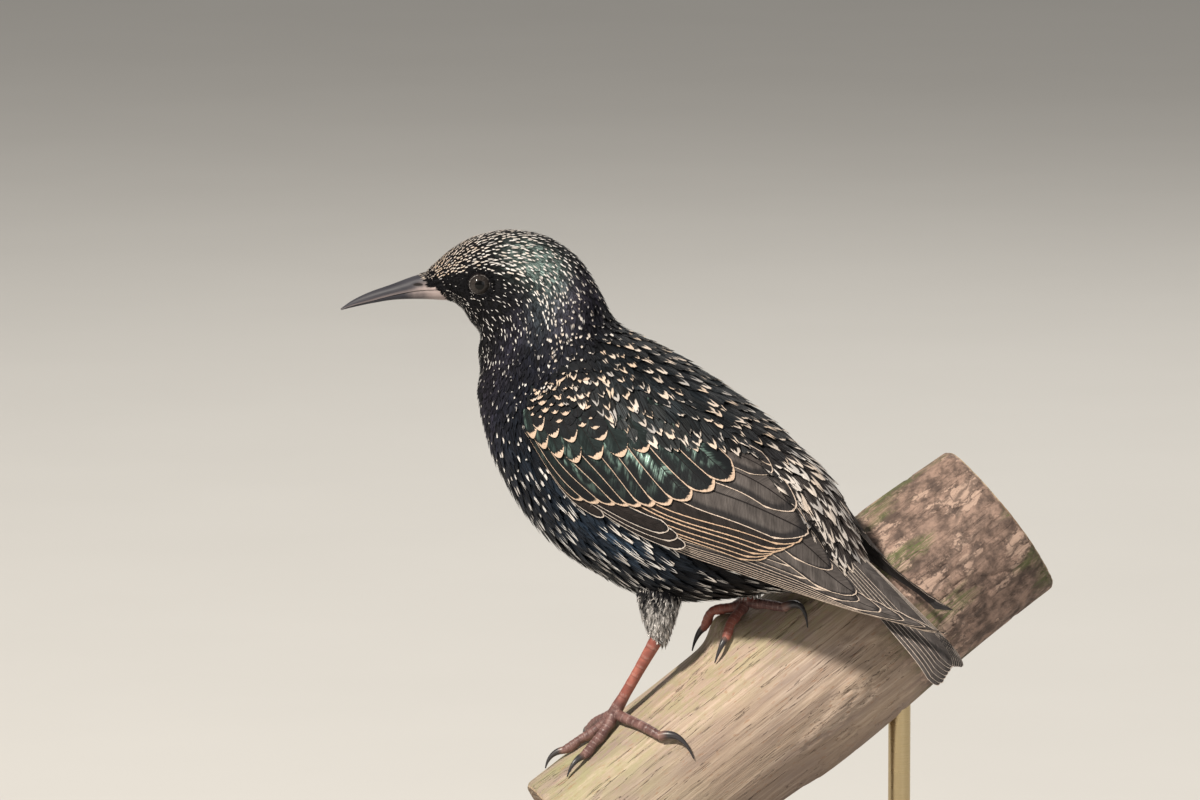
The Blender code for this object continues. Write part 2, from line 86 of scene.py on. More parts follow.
def make_studio():
    floor_shape = bmesh.new()
    bmesh.ops.create_circle(floor_shape, cap_ends=True, segments=96, radius=6.0)
    floor = mesh_object("floor", floor_shape, floor_finish())
    soft_light("key", (-1.5, -1.9, 2.3), (0, 0, 0.12), 0.30, 178, (1.0, 0.93, 0.83))
    soft_light("fill", (1.1, -1.5, 0.7), (0, 0, 0.12), 1.2, 4, (0.90, 0.95, 1.0))
    soft_light("back", (0.3, 1.3, 1.2), (0, 0, 0.12), 0.9, 8, (1.0, 0.97, 0.92))
    world = bpy.data.worlds.new("studio")
    world.use_nodes = True
    world.node_tree.nodes["Background"].inputs[0].default_value = (0.80, 0.79, 0.77, 1)
    world.node_tree.nodes["Background"].inputs[1].default_value = 0.27
    bpy.context.scene.world = world
    bpy.context.scene.view_settings.view_transform = "Standard"


# Materials

def finish(name, colour=(0.5, 0.5, 0.5), roughness=0.5, metallic=0.0, **sockets):
    """A material with its tree and shader. Sockets are named with underscores for spaces."""
    material = bpy.data.materials.new(name)
    material.use_nodes = True
    shader = material.node_tree.nodes["Principled BSDF"]
    shader.inputs["Base Color"].default_value = (*colour, 1)
    shader.inputs["Roughness"].default_value = roughness
    shader.inputs["Metallic"].default_value = metallic
    for socket, value in sockets.items():
        shader.inputs[socket.replace("_", " ")].default_value = value
    return material, Nodes(material.node_tree), shader


class Nodes:
    """Short ways to add nodes to a material's tree. Values are numbers, colours or sockets."""

    def __init__(self, tree):
        self.tree = tree

    def add(self, kind, values=(), **settings):
        node = self.tree.nodes.new("ShaderNode" + kind)
        for name, value in settings.items():
            setattr(node, name, value)
        for index, value in enumerate(values):
            self.put(node.inputs[index], value)
        return node

    def put(self, socket, value):
        if isinstance(value, bpy.types.NodeSocket):
            self.tree.links.new(value, socket)
        elif value is not None:
            socket.default_value = value

    def math(self, operation, *values):
        return self.add("Math", values, operation=operation).outputs[0]

    def step(self, value, low, high):
        """0 below low and 1 above high, with a smooth rise between."""
        node = self.add("MapRange", (value, low, high, 0.0, 1.0), interpolation_type="SMOOTHSTEP")
        return node.outputs[0]

    def remap(self, value, low, high, new_low, new_high):
        return self.add("MapRange", (value, low, high, new_low, new_high)).outputs[0]

    def mix(self, share, first, second, blend="MIX"):
        node = self.add("Mix", data_type="RGBA", blend_type=blend)
        self.put(node.inputs[0], share)
        for socket, value in ((node.inputs[6], first), (node.inputs[7], second)):
            self.put(socket, (*value, 1) if isinstance(value, tuple) else value)
        return node.outputs[2]

    def noise(self, vector, scale, detail=2.0, roughness=0.5):
        node = self.add("TexNoise")
        self.put(node.inputs["Vector"], vector)
        self.put(node.inputs["Scale"], scale)
        self.put(node.inputs["Detail"], detail)
        self.put(node.inputs["Roughness"], roughness)
        return node.outputs["Fac"]

    def vector(self, x, y, z):
        return self.add("CombineXYZ", (x, y, z)).outputs[0]

    def split(self, vector):
        return self.add("SeparateXYZ", (vector,)).outputs

    def place(self):
        return self.add("TexCoord").outputs["Object"]

    def along_vane(self):
        """(across, along) of a vane's own map: across 0 to 1 with the shaft at 0.5, along 0 to 1."""
        return self.split(self.add("UVMap", uv_map="vane").outputs[0])[0:2]

    def read(self, name):
        return self.add("Attribute", attribute_name=name).outputs

    def bump(self, height, distance, strength=1.0):
        node = self.add("Bump")
        self.put(node.inputs["Height"], height)
        self.put(node.inputs["Distance"], distance)
        self.put(node.inputs["Strength"], strength)
        return node.outputs[0]


def floor_finish():
    material, nodes, shader = finish("pale floor", (0.56, 0.55, 0.53), 0.85)
    grain = nodes.noise(nodes.place(), 9.0, 4.0)
    nodes.put(shader.inputs["Base Color"], nodes.mix(grain, (0.55, 0.54, 0.52), (0.58, 0.57, 0.55)))
    return material


# Meshes

def mesh_object(name, shape, material, slot=None):
    """An object from a bmesh, with its faces pointing out and shaded smooth."""
    bmesh.ops.recalc_face_normals(shape, faces=shape.faces)
    mesh = bpy.data.meshes.new(name)
    shape.to_mesh(mesh)
    shape.free()
    mesh.shade_smooth()
    mesh.set_sharp_from_angle(angle=math.radians(50))
    made = bpy.data.objects.new(name, mesh)
    bpy.context.scene.collection.objects.link(made)
    mesh.materials.append(material)
    if slot:
        place_on_bird(made)
    return made


def place_on_bird(piece):
    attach(piece, BODY)


# The bird's own frame and sections, as in its solids: mm from the neck's turning point

NECK = np.array((-48.0, 11.7, 168.3))
TRUNK_TURN = math.radians(27)
TRUNK_ROLL = math.radians(11)

# The back's point (tailward, up), the belly's, half the width and the share of the turn
BODY_SECTIONS = np.array([
    (*back, *belly, half, turn) for back, belly, half, turn in (
        ((-34.5, 29.2), (-29.0, 21.2), 3.7, 0.00),
        ((-31.2, 32.6), (-25.8, 19.6), 6.4, 0.00),
        ((-26.4, 36.3), (-23.2, 15.6), 8.8, 0.00),
        ((-20.5, 39.0), (-20.4, 11.7), 10.2, 0.00),
        ((-12.4, 40.4), (-21.1, 6.8), 11.3, 0.00),
        ((-3.0, 38.8), (-20.6, 2.1), 12.5, 0.05),
        ((5.9, 33.3), (-21.4, -3.6), 14.4, 0.25),
        ((12.1, 25.1), (-21.1, -8.9), 16.8, 0.55),
        ((17.0, 16.2), (-20.2, -15.2), 19.4, 0.80),
        ((24.5, 12.0), (-18.6, -21.9), 22.6, 0.95),
        ((33.7, 6.9), (-15.5, -28.3), 25.2, 1.00),
        ((42.8, 1.4), (-10.9, -36.0), 26.8, 1.00),
        ((51.9, -4.5), (-5.3, -42.5), 27.6, 1.00),
        ((60.3, -10.0), (1.7, -48.1), 27.6, 1.00),
        ((67.9, -15.5), (11.0, -53.3), 26.6, 1.00),
        ((75.0, -21.5), (21.9, -58.3), 24.2, 1.00),
        ((80.2, -28.6), (35.2, -59.6), 20.6, 1.00),
        ((84.1, -37.3), (49.6, -57.6), 16.6, 1.00),
        ((87.2, -45.5), (64.5, -54.4), 12.4, 1.00),
        ((90.2, -53.1), (79.7, -55.2), 8.0, 1.00),
        ((91.6, -55.0), (88.0, -56.2), 4.0, 1.00),
    )
])
BODY_END = len(BODY_SECTIONS) - 1
EGG_SHAPE = 0.10
EGG_FADE_END = 8.0


def posed(tailward, right, up, turn=1.0):
    """Points of the bird in mm from the neck's turning point, placed in the world."""
    yaw = TRUNK_TURN * np.asarray(turn, float)
    roll = TRUNK_ROLL * np.asarray(turn, float)
    flat = np.zeros_like(yaw)
    tail_axis = np.stack([np.cos(yaw), -np.sin(yaw), flat], -1)
    level_right = np.stack([np.sin(yaw), np.cos(yaw), flat], -1)
    upright = np.array((0.0, 0.0, 1.0))
    right_axis = level_right * np.cos(roll)[..., None] + upright * np.sin(roll)[..., None]
    up_axis = np.cross(tail_axis, right_axis)
    tailward, right, up = (np.asarray(value, float)[..., None] for value in (tailward, right, up))
    return NECK + tail_axis * tailward + right_axis * right + up_axis * up


def eased(values, place):
    """A smooth curve through equally spaced rows of values, read at places from 0 to their count."""
    last = len(values) - 1
    start = np.clip(np.floor(place).astype(int), 0, last - 1)
    step = (place - start)[..., None]
    before, here, there, after = (values[np.clip(start + k, 0, last)] for k in (-1, 0, 1, 2))
    return 0.5 * (
        2 * here
        + (there - before) * step
        + (2 * before - 5 * here + 4 * there - after) * step ** 2
        + (3 * here - before - 3 * there + after) * step ** 3
    )


def body_points(place, turn):
    """The body's surface: place from the bill at 0 to the vent, turn 0 at the back, near side 0.75."""
    values = np.moveaxis(eased(BODY_SECTIONS, np.asarray(place, float)), -1, 0)
    back_x, back_z, belly_x, belly_z, half, share = values
    angle = 2 * math.pi * turn
    tailward = (back_x + belly_x) / 2 + (back_x - belly_x) / 2 * np.cos(angle)
    up = (back_z + belly_z) / 2 + (back_z - belly_z) / 2 * np.cos(angle)
    egg = EGG_SHAPE * np.maximum(0.0, 1 - place / EGG_FADE_END)
    right = half * np.sin(angle) * (1 - egg * np.cos(angle))
    return posed(tailward, right, up, share)


class Sheet:
    """A curved sheet of the bird as a grid of points, read anywhere in and past it."""

    def __init__(self, shape, low, high, counts, closed=False):
        self.low = np.array(low, float)
        first = np.linspace(low[0], high[0], counts[0])
        second = np.linspace(low[1], high[1], counts[1], endpoint=not closed)
        self.first, self.second = np.meshgrid(first, second, indexing="ij")
        self.steps = np.array((first[1] - first[0], second[1] - second[0]))
        self.closed = closed
        self.points = shape(self.first, self.second)
        self.outward = 1.0
        self.measure()

    def measure(self):
        """Works out the directions along both coordinates and out of the sheet."""
        self.ahead = np.gradient(self.points, self.steps[0], axis=0)
        if self.closed:
            wrapped = np.concatenate([self.points[:, -1:], self.points, self.points[:, :1]], 1)
            self.aside = np.gradient(wrapped, self.steps[1], axis=1)[:, 1:-1]
        else:
            self.aside = np.gradient(self.points, self.steps[1], axis=1)
        normals = np.cross(self.aside, self.ahead) * self.outward
        self.normals = normals / np.maximum(np.linalg.norm(normals, axis=-1, keepdims=True), 1e-9)

    def read(self, grid, first, second):
        """The grid's value at coordinates, carried on straight past its edges."""
        rows, columns = grid.shape[:2]
        row = (first - self.low[0]) / self.steps[0]
        column = (second - self.low[1]) / self.steps[1]
        if self.closed:
            column = np.mod(column, columns)
        row_0 = np.clip(np.floor(row).astype(int), 0, rows - 2)
        most = columns - 1 if self.closed else columns - 2
        column_0 = np.clip(np.floor(column).astype(int), 0, most)
        column_1 = (column_0 + 1) % columns
        down = (row - row_0)[..., None]
        over = (column - column_0)[..., None]
        if grid.ndim == 2:
            down, over = down[..., 0], over[..., 0]
        near = grid[row_0, column_0] * (1 - over) + grid[row_0, column_1] * over
        far = grid[row_0 + 1, column_0] * (1 - over) + grid[row_0 + 1, column_1] * over
        return near * (1 - down) + far * down


# Vanes

BAKE_PATCH = 0.003


class Template:
    """One vane's mesh before it is laid on a sheet: a cambered top, a flat underside and a tip
    whose barbs end at different lengths."""

    def __init__(self, rows, columns, tip_drop, tip_power, jag, seed, neck=0.5, taper=0.15):
        order = np.random.default_rng(seed)
        sides = np.linspace(-1, 1, columns)
        ends = 1 - tip_drop * np.abs(sides) ** tip_power
        ends += jag * order.uniform(-1, 0.15, columns) + jag * 0.5 * (np.arange(columns) % 2 - 1)
        steps = np.linspace(0, 1, rows) ** 0.85
        along = steps[:, None] * ends[None, :]
        narrow = neck + (1 - neck) * np.sin(np.clip(along / 0.45, 0, 1) * math.pi / 2)
        narrow *= 1 - taper * np.clip((along - 0.5) / 0.5, 0, 1) ** 2
        across = sides[None, :] * narrow
        self.along = along.ravel()
        self.across = across.ravel()
        self.side = np.broadcast_to(sides[None, :], along.shape).ravel()
        self.faces, below = vane_faces(rows, columns)
        spots = np.stack([0.5 + 0.5 * self.side, self.along], -1)
        below_spots = np.stack([0.5 + 0.3 * self.side, self.along * 0.7], -1)
        self.map = np.concatenate([
            (below_spots if under else spots)[list(face)] for face, under in zip(self.faces, below)
        ])


def vane_faces(rows, columns):
    """Faces of a closed vane, a grid on top and a strip from edge to edge below, and which are below."""
    def spot(row, column):
        return row * columns + column

    faces = []
    below = []
    for row in range(rows - 1):
        for column in range(columns - 1):
            faces.append((
                spot(row, column), spot(row, column + 1), spot(row + 1, column + 1), spot(row + 1, column),
            ))
            below.append(False)
        faces.append((
            spot(row, 0), spot(row + 1, 0), spot(row + 1, columns - 1), spot(row, columns - 1),
        ))
        below.append(True)
    faces.append(tuple(spot(0, column) for column in reversed(range(columns))))
    faces.append(tuple(spot(rows - 1, column) for column in range(columns)))
    return faces, below + [True, True]


def lay(sheet, template, roots, heading, length, half_width, low, high, camber=0.22, curl=1.0):
    """Points of many vanes that lie along a sheet. Heading is in radians from the sheet's first
    direction, low and high are the heights of root and tip over the sheet in mm."""
    first, second = roots[:, 0], roots[:, 1]
    ahead = sheet.read(sheet.ahead, first, second)
    aside = sheet.read(sheet.aside, first, second)
    ahead_size = np.linalg.norm(ahead, axis=-1)
    unit = ahead / ahead_size[:, None]
    skew = np.sum(aside * unit, -1)
    aside_size = np.linalg.norm(aside - unit * skew[:, None], axis=-1)
    x = template.along[None, :] * length[:, None]
    y = template.across[None, :] * half_width[:, None]
    turn_cos, turn_sin = np.cos(heading)[:, None], np.sin(heading)[:, None]
    forward = x * turn_cos - y * turn_sin
    sideways = x * turn_sin + y * turn_cos
    second_step = sideways / aside_size[:, None]
    first_step = (forward - second_step * skew[:, None]) / ahead_size[:, None]
    at_first = first[:, None] + first_step
    at_second = second[:, None] + second_step
    points = sheet.read(sheet.points, at_first, at_second)
    normals = sheet.read(sheet.normals, at_first, at_second)
    normals /= np.maximum(np.linalg.norm(normals, axis=-1, keepdims=True), 1e-9)
    height = low[:, None] + (high - low)[:, None] * template.along[None, :] ** curl
    height += camber * half_width[:, None] * (1 - template.side[None, :] ** 2)
    return points + normals * height[..., None]


class Coat:
    """Collects vanes and joins them into one mesh."""

    def __init__(self, name, material, slot):
        self.name, self.material, self.slot = name, material, slot
        self.batches = []

    def add(self, template, points, bake, patch=BAKE_PATCH, **values):
        """Points are (vanes, template points, 3), bake the place of each vane's patch on the map.
        Values are (vanes, width) or (vanes, template points, width), 3 or 4 wide."""
        count, size = points.shape[:2]
        spread = {
            name: np.repeat(value, size, axis=0) if value.ndim == 2 else value.reshape(count * size, -1)
            for name, value in values.items()
        }
        self.batches.append((template, points, bake, patch, spread))

    def build(self):
        verts, corners, starts, vane_map, bake_map = ([] for _ in range(5))
        attributes = {name: [] for name in self.batches[0][4]}
        total = 0
        loops = 0
        for template, points, bake, patch, spread in self.batches:
            count, size = points.shape[:2]
            verts.append(points.reshape(-1, 3) * MM)
            index = np.concatenate([np.array(face) for face in template.faces])
            lengths = np.array([len(face) for face in template.faces])
            corners.append((index[None, :] + (np.arange(count) * size)[:, None] + total).ravel())
            face_start = np.concatenate([[0], np.cumsum(lengths)[:-1]])
            starts.append((face_start[None, :] + (np.arange(count) * len(index))[:, None] + loops).ravel())
            vane_map.append(np.tile(template.map, (count, 1)))
            spot = (template.map - 0.5) * patch
            bake_map.append((bake[:, None, :] + spot[None, :, :]).reshape(-1, 2))
            for name, value in spread.items():
                attributes[name].append(value)
            total += count * size
            loops += count * len(index)
        mesh = bpy.data.meshes.new(self.name)
        mesh.vertices.add(total)
        mesh.vertices.foreach_set("co", np.concatenate(verts).astype(np.float32).ravel())
        mesh.loops.add(loops)
        mesh.loops.foreach_set("vertex_index", np.concatenate(corners).astype(np.int32))
        starts = np.concatenate(starts)
        mesh.polygons.add(len(starts))
        mesh.polygons.foreach_set("loop_start", starts.astype(np.int32))
        mesh.update(calc_edges=True)
        for layer, values in (("vane", vane_map), ("OFBake", bake_map)):
            data = mesh.uv_layers.new(name=layer).data
            data.foreach_set("uv", np.concatenate(values).astype(np.float32).ravel())
        mesh.uv_layers["vane"].active_render = True
        for name, values in attributes.items():
            values = np.concatenate(values).astype(np.float32)
            kind, field = ("FLOAT_VECTOR", "vector") if values.shape[1] == 3 else ("FLOAT_COLOR", "color")
            mesh.attributes.new(name, kind, "POINT").data.foreach_set(field, values.ravel())
        mesh.shade_smooth()
        mesh.set_sharp_from_angle(angle=math.radians(70))
        mesh.materials.append(self.material)
        piece = bpy.data.objects.new(self.name, mesh)
        bpy.context.scene.collection.objects.link(piece)
        place_on_bird(piece)
        return piece




# Skin

SKIN_DEPTH_AT = (0, 4, 8, 12, 20)
SKIN_DEPTH = (0.5, 0.8, 1.3, 1.7, 1.5)
POLE_SHARE = 0.02

# Where the body and the thighs lie on the unwrap that skin and coat share: left, low, width, height
MAP_PARTS = {
    "body": (0.004, 0.004, 0.975, 0.86), "left": (0.01, 0.885, 0.46, 0.11), "right": (0.51, 0.885, 0.46, 0.11),
}

THIGHS = {
    "left": (
        ((34.0, -12.5, -45.0), 8.0, 6.0),
        ((33.0, -13.5, -53.0), 6.9, 5.6),
        ((32.7, -14.5, -59.0), 5.6, 4.8),
        ((32.5, -15.0, -64.3), 3.8, 3.4),
        ((32.4, -15.0, -67.4), 2.6, 2.5),
    ),
    "right": (
        ((50.0, 10.0, -44.0), 7.0, 5.5),
        ((50.5, 7.5, -50.0), 6.4, 5.2),
        ((51.0, 5.0, -55.0), 5.0, 4.4),
        ((51.4, 3.5, -58.6), 3.4, 3.2),
    ),
}
THIGH_SKIN_DEPTH = 1.2


def thigh_points(side):
    """The thigh's surface: place from inside the belly at 0 down to the shank, turn round it."""
    rows = np.array([(*centre, fore, wide) for centre, fore, wide in THIGHS[side]])

    def points(place, turn):
        x, right, z, fore, wide = np.moveaxis(eased(rows, np.asarray(place, float)), -1, 0)
        angle = 2 * math.pi * turn
        return posed(x + fore * np.cos(angle), right + wide * np.sin(angle), z)

    return points


def skin_map(part, turn, share):
    """Places on the unwrap, from the turn round a part and the share along it."""
    left, low, width, height = MAP_PARTS[part]
    polar = POLE_SHARE + share * (1 - 2 * POLE_SHARE)
    return np.stack([left + np.mod(turn, 1) * width, low + polar * height], -1)


def outward_sheet(shape, low, high, counts, closed=True):
    """A sheet round an axis, with its normals pointing away from the axis."""
    sheet = Sheet(shape, low, high, counts, closed)
    centres = sheet.points.mean(1, keepdims=True)
    if np.sum(sheet.normals * (sheet.points - centres)) < 0:
        sheet.outward = -1.0
        sheet.measure()
    return sheet


def wrapped_ball(sheet, part, depth, segments, rings):
    """A ball whose circles of latitude become the sheet's rings, set in by a depth."""
    shape = bmesh.new()
    bmesh.ops.create_uvsphere(shape, u_segments=segments, v_segments=rings, radius=1.0)
    unit = np.array([vert.co for vert in shape.verts])
    polar = np.arccos(np.clip(unit[:, 2], -1, 1)) / math.pi
    turn = np.mod(np.arctan2(unit[:, 1], unit[:, 0]) / (2 * math.pi), 1)
    share = np.clip((polar - POLE_SHARE) / (1 - 2 * POLE_SHARE), 0, 1)
    low, high = sheet.first[0, 0], sheet.first[-1, 0]
    first = low + (high - low) * share
    points = sheet.read(sheet.points, first, turn)
    points = points - sheet.read(sheet.normals, first, turn) * depth(first)[:, None]
    ring_centres = sheet.points.mean(1)
    rows = (first - low) / sheet.steps[0]
    centres = ring_centres[np.clip(np.round(rows).astype(int), 0, len(ring_centres) - 1)]
    close = np.clip(np.minimum(polar, 1 - polar) / POLE_SHARE, 0, 1)[:, None]
    points = centres + (points - centres) * close
    bake = shape.loops.layers.uv.new("OFBake")
    left, map_low, width, height = MAP_PARTS[part]
    for vert, point in zip(shape.verts, points * MM):
        vert.co = point
    for face in shape.faces:
        turns = turn[[vert.index for vert in face.verts]]
        seam = turns.max() - turns.min() > 0.5
        for loop, at in zip(face.loops, turns):
            across = at + 1 if seam and at < 0.5 else at
            loop[bake].uv = (left + across * width, map_low + polar[loop.vert.index] * height)
    return shape


def union(name, first, others):
    """One mesh from several closed ones, with no faces inside it."""
    for other in others:
        join = first.modifiers.new(name, "BOOLEAN")
        join.operation = "UNION"
        join.solver = "EXACT"
        join.object = other
    graph = bpy.context.evaluated_depsgraph_get()
    mesh = bpy.data.meshes.new_from_object(first.evaluated_get(graph))
    first.modifiers.clear()
    first.data = mesh
    for other in others:
        bpy.data.objects.remove(other)
    return first


def skin_finish():
    """Dark skin that carries the coat's glossy patches and its pale specks."""
    material, nodes, shader = finish("skin", (0.012, 0.012, 0.014), 0.6)
    place = nodes.place()
    grain = nodes.noise(place, 900.0, 3.0)
    colour = nodes.mix(grain, (0.005, 0.005, 0.006), (0.014, 0.013, 0.015))
    # The coat's glossy patches go on the skin too, with the painted sheen in the brightest of them
    for along, spread, rise, _, gloss in GLOSS:
        for side in (-1, 1):
            centre = body_points(np.array(along), np.array((1 - side * rise) / 2)) * MM
            away = nodes.add("VectorMath", (place, tuple(centre)), operation="DISTANCE").outputs["Value"]
            share = nodes.math("MULTIPLY", nodes.step(away, 0.012 * spread, 0.002), 0.8)
            colour = nodes.mix(share, colour, gloss)
    cells = nodes.add("TexVoronoi")
    nodes.put(cells.inputs["Vector"], place)
    nodes.put(cells.inputs["Scale"], 420.0)
    wanted = nodes.step(nodes.split(cells.outputs["Color"])[0], 0.50, 0.55)
    for side in (-1, 1):
        centre = posed(EYE_CENTRE[0], side * EYE_CENTRE[1], EYE_CENTRE[2], 0) * MM
        away = nodes.add("VectorMath", (place, tuple(centre)), operation="DISTANCE").outputs["Value"]
        wanted = nodes.math("MULTIPLY", wanted, nodes.step(away, 0.007, 0.010))
    speck = nodes.math("MULTIPLY", nodes.step(cells.outputs["Distance"], 0.34, 0.20), wanted)
    colour = nodes.mix(speck, colour, (0.50, 0.44, 0.37))
    nodes.put(shader.inputs["Base Color"], colour)
    nodes.put(shader.inputs["Normal"], nodes.bump(grain, 0.0003))
    return material


def make_skin(body, thighs):
    material = skin_finish()
    skin = mesh_object(
        "skin", wrapped_ball(body, "body", lambda a: np.interp(a, SKIN_DEPTH_AT, SKIN_DEPTH), 96, 120), material
    )
    lumps = [
        mesh_object(
            "thigh skin " + side,
            wrapped_ball(sheet, side, lambda a: np.full_like(a, THIGH_SKIN_DEPTH), 32, 24), material,
        )
        for side, sheet in thighs.items()
    ]
    union("one skin", skin, lumps)
    place_on_bird(skin)
    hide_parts("head", "neck", "trunk", "thigh_left", "thigh_right")
    return skin


# Contour feathers of head, neck and trunk

# Spacing of feather rows in mm by place on the body, along the back and along the belly
GAP_AT = (0, 1, 3, 5, 6.5, 8, 9.5, 12, 16, 20)
GAP_BACK = (0.75, 0.92, 1.28, 1.50, 1.85, 2.9, 3.9, 4.2, 3.9, 3.2)
GAP_BELLY = (0.75, 0.90, 1.15, 1.45, 1.7, 2.2, 2.9, 3.3, 3.5, 3.0)

# Where body feathers end over the wing: along the wing, and how far across they reach
COVER_AT = (-0.06, 0.0, 0.04, 0.12, 0.20, 0.30, 0.38, 0.45, 0.55, 0.60, 0.66, 0.74, 1.0)
COVER_ACROSS = (0.30, 0.24, 0.20, 0.21, 0.26, 0.29, 0.29, 0.22, 0.08, 0.00, -0.05, -0.03, 0.05)
COVER_FRONT = 0.005
COVER_END = 18.0
RUMP_UPNESS = 0.80
MANTLE_SWEEP = 0.30
FIRST_ROW = -0.2
LAST_ROW = 19.6


def unit_vectors(values):
    return values / np.maximum(np.linalg.norm(values, axis=-1, keepdims=True), 1e-9)


def upness(second):
    """1 along the back, 0 along the belly."""
    return np.abs(2 * np.mod(second, 1) - 1)


OVER_WING = 1.1
EYE_CENTRE = (-20.4, 8.0, 26.6)
EYE_DENT = 0.75
EYE_DENT_SPREAD = 3.6
EYE_CLEARANCE = 2.75


def eye_distance(points):
    """How far points are from the nearer eye, seen from the bird's side."""
    centre = posed(EYE_CENTRE[0], 0.0, EYE_CENTRE[2], 0)
    return np.hypot(points[..., 0] - centre[0], points[..., 2] - centre[2])


def dent_for_eyes(sheet):
    """Sinks the cheeks a little round the eyes."""
    away = sheet.points[..., 1] - NECK[1]
    near_eye = np.exp(-(eye_distance(sheet.points) / EYE_DENT_SPREAD) ** 2) * (sheet.first < 6)
    sheet.points[..., 1] -= np.sign(away) * EYE_DENT * near_eye
    sheet.measure()



class WingSurface:
    """A wing's outer face, to look up how far along and across it a point lies."""

    def __init__(self, side):
        self.sheet = Sheet(wing_points(side), (-0.08, -0.3), (1.06, 1.3), (229, 129))
        outward = posed(0, side * 10.0, 0) - posed(0, 0, 0)
        if np.sum(self.sheet.normals * outward) < 0:
            self.sheet.outward = -1.0
            self.sheet.measure()
        spots = self.sheet.points[::2, ::2].reshape(-1, 3)
        self.coordinates = np.stack([self.sheet.first[::2, ::2], self.sheet.second[::2, ::2]], -1).reshape(-1, 2)
        self.tree = KDTree(len(spots))
        for index, spot in enumerate(spots):
            self.tree.insert(spot, index)
        self.tree.balance()
        grid = self.sheet.points[16:213:2, 24:105:2]
        rows, columns = grid.shape[:2]
        quads = [
            (row * columns + column, row * columns + column + 1,
             (row + 1) * columns + column + 1, (row + 1) * columns + column)
            for row in range(rows - 1) for column in range(columns - 1)
        ]
        self.face = BVHTree.FromPolygons([tuple(point) for point in grid.reshape(-1, 3)], quads)

    def find(self, point):
        """(along, across, distance) of the point of the wing nearest to this one."""
        _, index, distance = self.tree.find(point)
        return (*self.coordinates[index], distance)


def covers(along, across, margin=0.0):
    """Whether a body feather that ends here on the wing lies over it, rather than under it."""
    return across < np.interp(along, COVER_AT, COVER_ACROSS) + margin or along < COVER_FRONT


def cover_wings(sheet, wings):
    """Raises the sheet over the parts of the wings that body feathers cover."""
    reach = 9.0
    rise = np.zeros(sheet.first.shape)
    for wing in wings:
        for row in range(sheet.first.shape[0]):
            if not 7.0 < sheet.first[row, 0] < COVER_END:
                continue
            for column in range(sheet.first.shape[1]):
                point, normal = sheet.points[row, column], sheet.normals[row, column]
                hit = wing.face.ray_cast(Vector(point + normal * reach), Vector(-normal), reach + 0.8)
                if hit[0] is None:
                    continue
                along, across, _ = wing.find(hit[0])
                if covers(along, across, 0.10):
                    rise[row, column] = max(rise[row, column], reach - hit[3] + OVER_WING)
    peak = rise
    for _ in range(8):
        rise = (np.roll(rise, 1, 1) + np.roll(rise, -1, 1) + 2 * rise) / 4
        padded = np.pad(rise, ((1, 1), (0, 0)), mode="edge")
        rise = (padded[:-2] + padded[2:] + 2 * rise) / 4
    rise = np.where(peak > 0, np.maximum(rise, peak), rise)
    rise *= np.clip((COVER_END - sheet.first) / 2.0, 0, 1)
    sheet.points = sheet.points + sheet.normals * rise[..., None]
    sheet.measure()


def tract_roots(sheet, gap, aspect, first_row, last_row):
    """Roots in staggered rows. Each row runs round the body a gap behind the one before it."""
    columns = sheet.second.shape[1]
    turns = sheet.second[0]
    place = np.full(columns, float(first_row))
    found = []
    row = 0
    while place.min() < last_row and row < 400:
        points = sheet.read(sheet.points, place, turns)
        hop = np.linalg.norm(np.roll(points, -1, 0) - points, axis=-1)
        spacing = gap(place, turns)
        count_rate = hop / (spacing * aspect)
        filled = np.concatenate([[0], np.cumsum(count_rate)])
        count = max(int(round(filled[-1])), 3)
        wanted = (np.arange(count) + 0.5 * (row % 2)) / count * filled[-1]
        at = np.interp(wanted, filled, np.arange(columns + 1))
        turn = at / columns
        there = np.interp(at, np.arange(columns + 1), np.append(place, place[0]))
        keep = there < last_row
        found.append(np.stack([there, turn], -1)[keep])
        ahead = np.linalg.norm(sheet.read(sheet.ahead, place, turns), axis=-1)
        place = place + spacing / np.maximum(ahead, 1.0)
        for _ in range(3):
            place = (np.roll(place, 1) + np.roll(place, -1) + 2 * place) / 4
        row += 1
    return np.concatenate(found)


def row_gap(first, second):
    back = np.interp(first, GAP_AT, GAP_BACK)
    belly = np.interp(first, GAP_AT, GAP_BELLY)
    return belly + (back - belly) * np.clip(upness(second) * 1.3 - 0.15, 0, 1)


